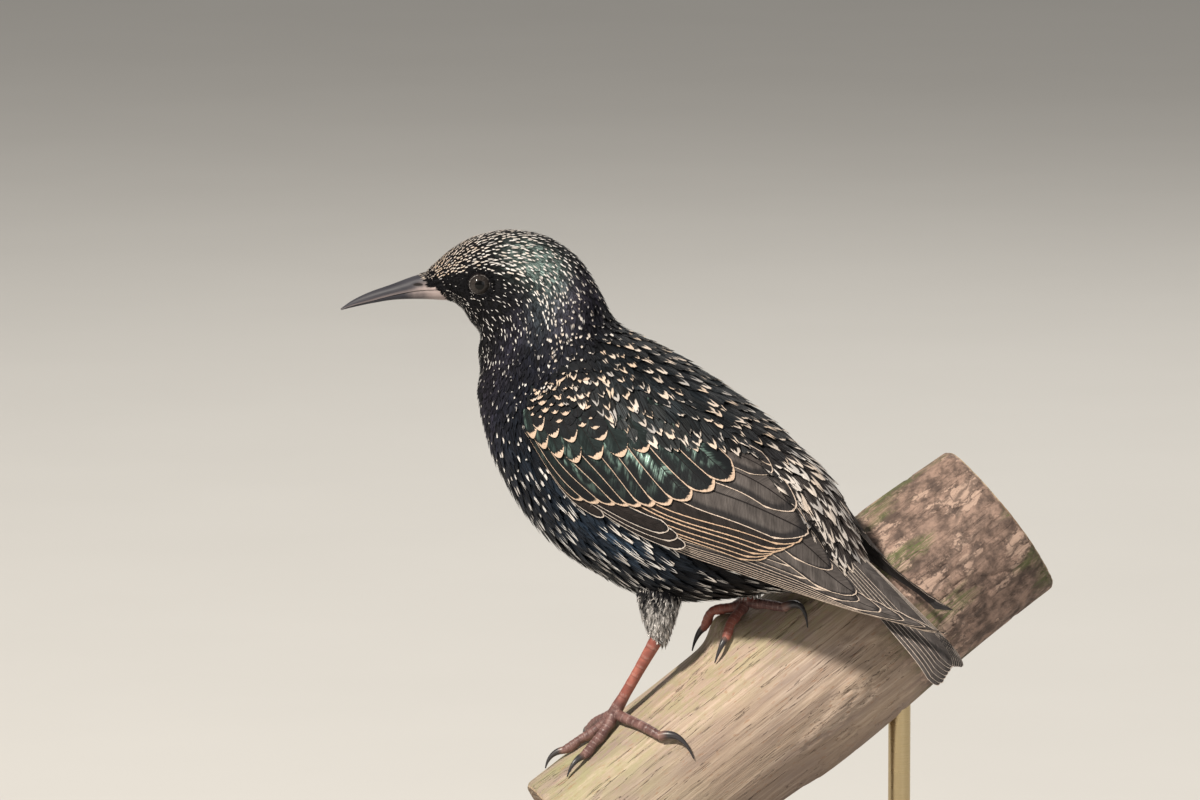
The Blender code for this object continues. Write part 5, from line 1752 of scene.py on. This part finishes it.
def claw_finish():
    material, nodes, shader = finish("claws", (0.05, 0.04, 0.04), 0.35)
    turn, share = nodes.split(nodes.add("UVMap", uv_map="run").outputs[0])[0:2]
    grain = nodes.noise(nodes.vector(nodes.math("MULTIPLY", turn, 30.0), nodes.math("MULTIPLY", share, 3.0), 0.0), 1.0, 2.0)
    horn = nodes.mix(nodes.step(grain, 0.3, 0.7), (0.016, 0.015, 0.016), (0.050, 0.046, 0.050))
    horn = nodes.mix(nodes.step(share, 0.25, 0.0), horn, (0.20, 0.11, 0.09))
    below = nodes.step(nodes.math("ABSOLUTE", nodes.math("SUBTRACT", turn, 0.5)), 0.12, 0.04)
    horn = nodes.mix(nodes.math("MULTIPLY", below, 0.6), horn, (0.28, 0.22, 0.19))
    nodes.put(shader.inputs["Base Color"], horn)
    nodes.put(shader.inputs["Normal"], nodes.bump(grain, 0.00008, 0.6))
    return material


# Bill and eyes

BILL_RINGS = 70
BILL_SIDES = 36
BILL_POINT = 0.985
NOSTRIL = (-37.0, 25.7)


def half_bill(upper):
    """Rings of one half of the bill: an arch from the mouth line and a flat inner face."""
    places = np.linspace(0, len(BILL_SECTIONS) - 1, BILL_RINGS)
    cx, cz, mx, mz, gx, gz, half = np.moveaxis(eased(BILL_SECTIONS, places), -1, 0)
    edge = np.stack([cx, cz], -1) if upper else np.stack([gx, gz], -1)
    mouth = np.stack([mx, mz], -1)
    away = edge - mouth
    away_length = np.linalg.norm(away, axis=1, keepdims=True)
    away = away / away_length
    foot = mouth + away * 0.07
    arch = BILL_SIDES * 2 // 3
    rings = []
    for k in range(BILL_SIDES):
        if k <= arch:
            angle = math.pi * k / arch
            rise = math.sin(angle) ** (0.85 if upper else 0.8)
            side = math.cos(angle)
            spread = half * (1.0 if upper else 0.93) * math.copysign(abs(side) ** 0.9, side)
        else:
            share = (k - arch) / (BILL_SIDES - arch)
            rise = 0.0
            spread = -half * (1.0 if upper else 0.93) * (1 - 2 * share)
        spot = foot + (edge - foot) * rise
        if upper:
            dent = np.exp(-(((spot[:, 0] - NOSTRIL[0]) / 1.5) ** 2 + ((spot[:, 1] - NOSTRIL[1]) / 0.55) ** 2))
            spread = spread * (1 - 0.10 * dent)
        rings.append(posed(spot[:, 0], spread, spot[:, 1], 0))
    rings = np.stack(rings, 1)
    share = np.linspace(0, 1, BILL_RINGS)[:, None, None]
    closing = np.sqrt(np.clip(1 - (np.clip(share - BILL_POINT, 0, 1) / (1 - BILL_POINT)) ** 2, 0.0004, 1))
    middle = rings.mean(1, keepdims=True)
    return middle + (rings - middle) * closing


def bill_finish(name, upper):
    material, nodes, shader = finish(name, (0.1, 0.08, 0.08), 0.48, Specular_IOR_Level=0.16)
    turn, share = nodes.split(nodes.add("UVMap", uv_map="run").outputs[0])[0:2]
    streaks = nodes.noise(nodes.vector(nodes.math("MULTIPLY", turn, 26.0), nodes.math("MULTIPLY", share, 5.0), 0.0), 1.0, 3.0)
    cloud = nodes.noise(nodes.place(), 330.0, 3.0)
    dark = nodes.mix(streaks, (0.017, 0.017, 0.022), (0.058, 0.057, 0.068))
    pink = nodes.mix(streaks, (0.24, 0.185, 0.175), (0.52, 0.43, 0.41))
    rim = nodes.math("ABSOLUTE", nodes.math("SUBTRACT", turn, 1 / 3))
    shifted = nodes.math("ADD", share, nodes.math("MULTIPLY_ADD", cloud, 0.24, -0.12))
    if upper:
        paleness = nodes.math("MULTIPLY", nodes.step(shifted, 0.40, 0.08), nodes.step(rim, 0.15, 0.33))
        paleness = nodes.math("ADD", paleness, nodes.math("MULTIPLY", nodes.step(rim, 0.28, 0.33), 0.3))
    else:
        paleness = nodes.math("MULTIPLY", nodes.step(shifted, 0.46, 0.18), 0.9)
    horn = nodes.mix(nodes.math("MINIMUM", paleness, 1.0), dark, pink)
    # Painted shade: a dark ellipse at the nostril stands for its opening, which the mesh only dents
    x, y, z = nodes.split(nodes.place())[0:3]
    nostril = posed(NOSTRIL[0], 0.0, NOSTRIL[1], 0) * MM
    run = nodes.math("MULTIPLY", nodes.math("SUBTRACT", x, float(nostril[0])), 1 / (1.7 * MM))
    rise = nodes.math("MULTIPLY", nodes.math("SUBTRACT", z, float(nostril[2])), 1 / (0.55 * MM))
    nostril_shade_reach = nodes.math("SQRT", nodes.math("ADD", nodes.math("MULTIPLY", run, run), nodes.math("MULTIPLY", rise, rise)))
    horn = nodes.mix(nodes.step(nostril_shade_reach, 0.55, 1.0), (0.012, 0.009, 0.009), horn)
    nodes.put(shader.inputs["Base Color"], horn)
    nodes.put(shader.inputs["Normal"], nodes.bump(nodes.math("ADD", streaks, cloud), 0.00006, 0.7))
    return material


def make_bill():
    for name, upper in (("bill_upper", True), ("bill_lower", False)):
        shape = loft(bmesh.new(), half_bill(upper))
        piece = mesh_object(name + "_horn", shape, bill_finish(name, upper), "bill")
        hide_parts(name)


EYE_RADIUS = 3.2
PUPIL_RADIUS = 1.2
LID_RADIUS = 2.72
LID_THICK = 0.18
LID_OUT = 1.75
LID_FLATTER = 0.93


def eye_finish(name, centre):
    material, nodes, shader = finish(name, (0.02, 0.015, 0.012), 0.3, Specular_IOR_Level=0.05, Coat_Weight=0.35, Coat_Roughness=0.03)
    place = nodes.add("VectorMath", (nodes.place(), tuple(centre * MM)), operation="SUBTRACT").outputs[0]
    x, y, z = nodes.split(place)[0:3]
    spread = nodes.math("SQRT", nodes.math("ADD", nodes.math("MULTIPLY", x, x), nodes.math("MULTIPLY", z, z)))
    spread = nodes.math("MULTIPLY", spread, 1000.0)
    angle = nodes.math("ARCTAN2", z, x)
    rays = nodes.noise(
        nodes.vector(nodes.math("MULTIPLY", nodes.math("SINE", angle), 5.0),
                     nodes.math("MULTIPLY", nodes.math("COSINE", angle), 5.0), nodes.math("MULTIPLY", spread, 0.5)), 1.6, 3.0,
    )
    iris = nodes.mix(nodes.step(rays, 0.3, 0.7), (0.016, 0.013, 0.012), (0.034, 0.029, 0.026))
    iris = nodes.mix(nodes.step(spread, 2.2, 2.7), iris, (0.012, 0.010, 0.010))
    pupil = nodes.step(spread, PUPIL_RADIUS, PUPIL_RADIUS + 0.12)
    nodes.put(shader.inputs["Base Color"], nodes.mix(pupil, (0.002, 0.002, 0.002), iris))
    return material


def make_eyes():
    lid_material, nodes, shader = finish("eyelids", (0.14, 0.12, 0.12), 0.55)
    wrinkle = nodes.noise(nodes.place(), 2200.0, 3.0)
    nodes.put(shader.inputs["Base Color"], nodes.mix(nodes.step(wrinkle, 0.42, 0.62), (0.012, 0.010, 0.010), (0.17, 0.155, 0.145)))
    nodes.put(shader.inputs["Normal"], nodes.bump(wrinkle, 0.0001, 0.8))
    for name, side in (("left", -1), ("right", 1)):
        tailward, outward, up = EYE_CENTRE
        centre = posed(tailward, side * outward, up, 0)
        ball = bmesh.new()
        bmesh.ops.create_uvsphere(
            ball, u_segments=48, v_segments=32, radius=EYE_RADIUS * MM,
            matrix=Matrix.Translation(Vector(centre) * MM) @ Matrix.Rotation(math.pi / 2, 4, "X"),
        )
        eye = mesh_object("eyeball_" + name, ball, eye_finish("eye " + name, centre), "eye")
        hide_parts("eye_" + name)
        lid = bmesh.new()
        ring = Vector(centre + np.array((0, side * LID_OUT, 0))) * MM
        profile = bmesh.ops.create_circle(
            lid, segments=12, radius=LID_THICK * MM,
            matrix=Matrix.Translation(ring + Vector((LID_RADIUS * MM, 0, 0))),
        )["verts"]
        edges = list({edge for vert in profile for edge in vert.link_edges})
        bmesh.ops.spin(
            lid, geom=profile + edges, cent=ring, axis=Vector((0, 1, 0)), angle=2 * math.pi, steps=64, use_merge=True,
        )
        order = np.random.default_rng(61)
        for vert in lid.verts:
            spoke = (vert.co - ring) * Vector((1.0, 1.0, LID_FLATTER))
            swell = 1 + 0.012 * math.sin(7 * math.atan2(spoke.z, spoke.x)) + order.normal(0, 0.008)
            vert.co = ring + spoke * swell
        mesh_object("eyelid_" + name, lid, lid_material, "plumage")


# Stand

BASE_LENGTH = 150.0
BASE_DEPTH = 108.0
BASE_THICKNESS = 9.0
BASE_CORNER = 30.0
BASE_CENTRE_Y = 6.0
ROD_RADIUS = 3.0
ROD_ALONG = {"low": -50.0, "high": 38.0}


def base_finish():
    material, nodes, shader = finish("dark waxed wood", (0.06, 0.035, 0.025), 0.38)
    x, y, z = nodes.split(nodes.place())[0:3]
    bend = nodes.noise(nodes.place(), 14.0, 2.0)
    rings = nodes.math("ADD", nodes.math("MULTIPLY", y, 260.0), nodes.math("MULTIPLY", bend, 9.0))
    figure = nodes.noise(nodes.vector(nodes.math("MULTIPLY", x, 9.0), rings, nodes.math("MULTIPLY", z, 60.0)), 1.0, 4.0)
    pores = nodes.noise(nodes.vector(nodes.math("MULTIPLY", x, 130.0), nodes.math("MULTIPLY", y, 2600.0), 0.0), 1.0, 2.0)
    wood = nodes.mix(nodes.step(figure, 0.3, 0.7), (0.030, 0.016, 0.011), (0.105, 0.058, 0.036))
    wood = nodes.mix(nodes.step(pores, 0.58, 0.68), wood, (0.014, 0.008, 0.006))
    nodes.put(shader.inputs["Base Color"], wood)
    nodes.put(shader.inputs["Roughness"], nodes.remap(figure, 0.3, 0.7, 0.32, 0.46))
    nodes.put(shader.inputs["Normal"], nodes.bump(pores, 0.00008, 0.5))
    return material


def rod_finish():
    material, nodes, shader = finish("brushed brass rods", (0.58, 0.46, 0.27), 0.34, 1.0)
    x, y, z = nodes.split(nodes.place())[0:3]
    brush = nodes.noise(nodes.vector(nodes.math("MULTIPLY", x, 90.0), nodes.math("MULTIPLY", y, 90.0),
                                     nodes.math("MULTIPLY", z, 5000.0)), 1.0, 2.0)
    nodes.put(shader.inputs["Base Color"], nodes.mix(brush, (0.46, 0.355, 0.195), (0.66, 0.53, 0.32)))
    nodes.put(shader.inputs["Roughness"], nodes.remap(brush, 0.3, 0.7, 0.26, 0.42))
    return material


def make_stand():
    slab = bmesh.new()
    bmesh.ops.create_cube(slab, size=1.0)
    bmesh.ops.scale(slab, vec=Vector((BASE_LENGTH, BASE_DEPTH, BASE_THICKNESS)) * MM, verts=slab.verts)
    bmesh.ops.translate(slab, vec=Vector((0, BASE_CENTRE_Y, BASE_THICKNESS / 2)) * MM, verts=slab.verts)
    corners = [edge for edge in slab.edges if abs(edge.verts[0].co.z - edge.verts[1].co.z) > MM]
    bmesh.ops.bevel(slab, geom=corners, offset=BASE_CORNER * MM, segments=20, profile=0.5, affect="EDGES", material=-1)
    rims = [
        edge for edge in slab.edges
        if abs(edge.verts[0].co.z - edge.verts[1].co.z) < 0.1 * MM and edge.verts[0].co.z > 8 * MM
    ]
    bmesh.ops.bevel(slab, geom=rims, offset=1.6 * MM, segments=5, profile=0.5, affect="EDGES", material=-1)
    base = mesh_object("base_slab", slab, base_finish(), "base_wood")
    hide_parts("stand_base")
    metal = rod_finish()
    for name, along in ROD_ALONG.items():
        foot = PERCH_CENTRE + PERCH_AXIS * along
        underside = foot[2] - PERCH_RADIUS / math.cos(PERCH_PITCH)
        low, high = BASE_THICKNESS - 6.0, underside + 8.0
        rod = bmesh.new()
        bmesh.ops.create_cone(
            rod, cap_ends=True, segments=48, radius1=ROD_RADIUS * MM, radius2=ROD_RADIUS * MM, depth=(high - low) * MM,
            matrix=Matrix.Translation(Vector((foot[0], foot[1], (low + high) / 2)) * MM),
        )
        bmesh.ops.create_cone(
            rod, cap_ends=True, segments=48, radius1=ROD_RADIUS * 1.7 * MM, radius2=ROD_RADIUS * 1.5 * MM, depth=2.0 * MM,
            matrix=Matrix.Translation(Vector((foot[0], foot[1], BASE_THICKNESS + 0.95)) * MM),
        )
        piece = mesh_object("rod_" + name, rod, metal, "rod_metal")
        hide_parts("stand_rod_" + name)


make_camera()
make_studio()
body = outward_sheet(body_points, (0, 0), (BODY_END, 1), (321, 240))
thighs = {side: outward_sheet(thigh_points(side), (0, 0), (len(THIGHS[side]) - 1, 1), (41, 48)) for side in THIGHS}
dent_for_eyes(body)
make_skin(body, thighs)
near_wing, far_wing = WingSurface(-1), WingSurface(1)
cover_wings(body, (near_wing, far_wing))
contour_material = contour_finish()
make_contour_coat(body, (near_wing, far_wing), contour_material)
make_thigh_coat(thighs, contour_material)
feather_material = quill_finish()
make_wing("wing_left", near_wing.sheet, 21, feather_material)
make_wing("wing_right", far_wing.sheet, 22, feather_material)
make_tail(feather_material)
make_perch()
make_feet()
make_bill()
make_eyes()
make_stand()
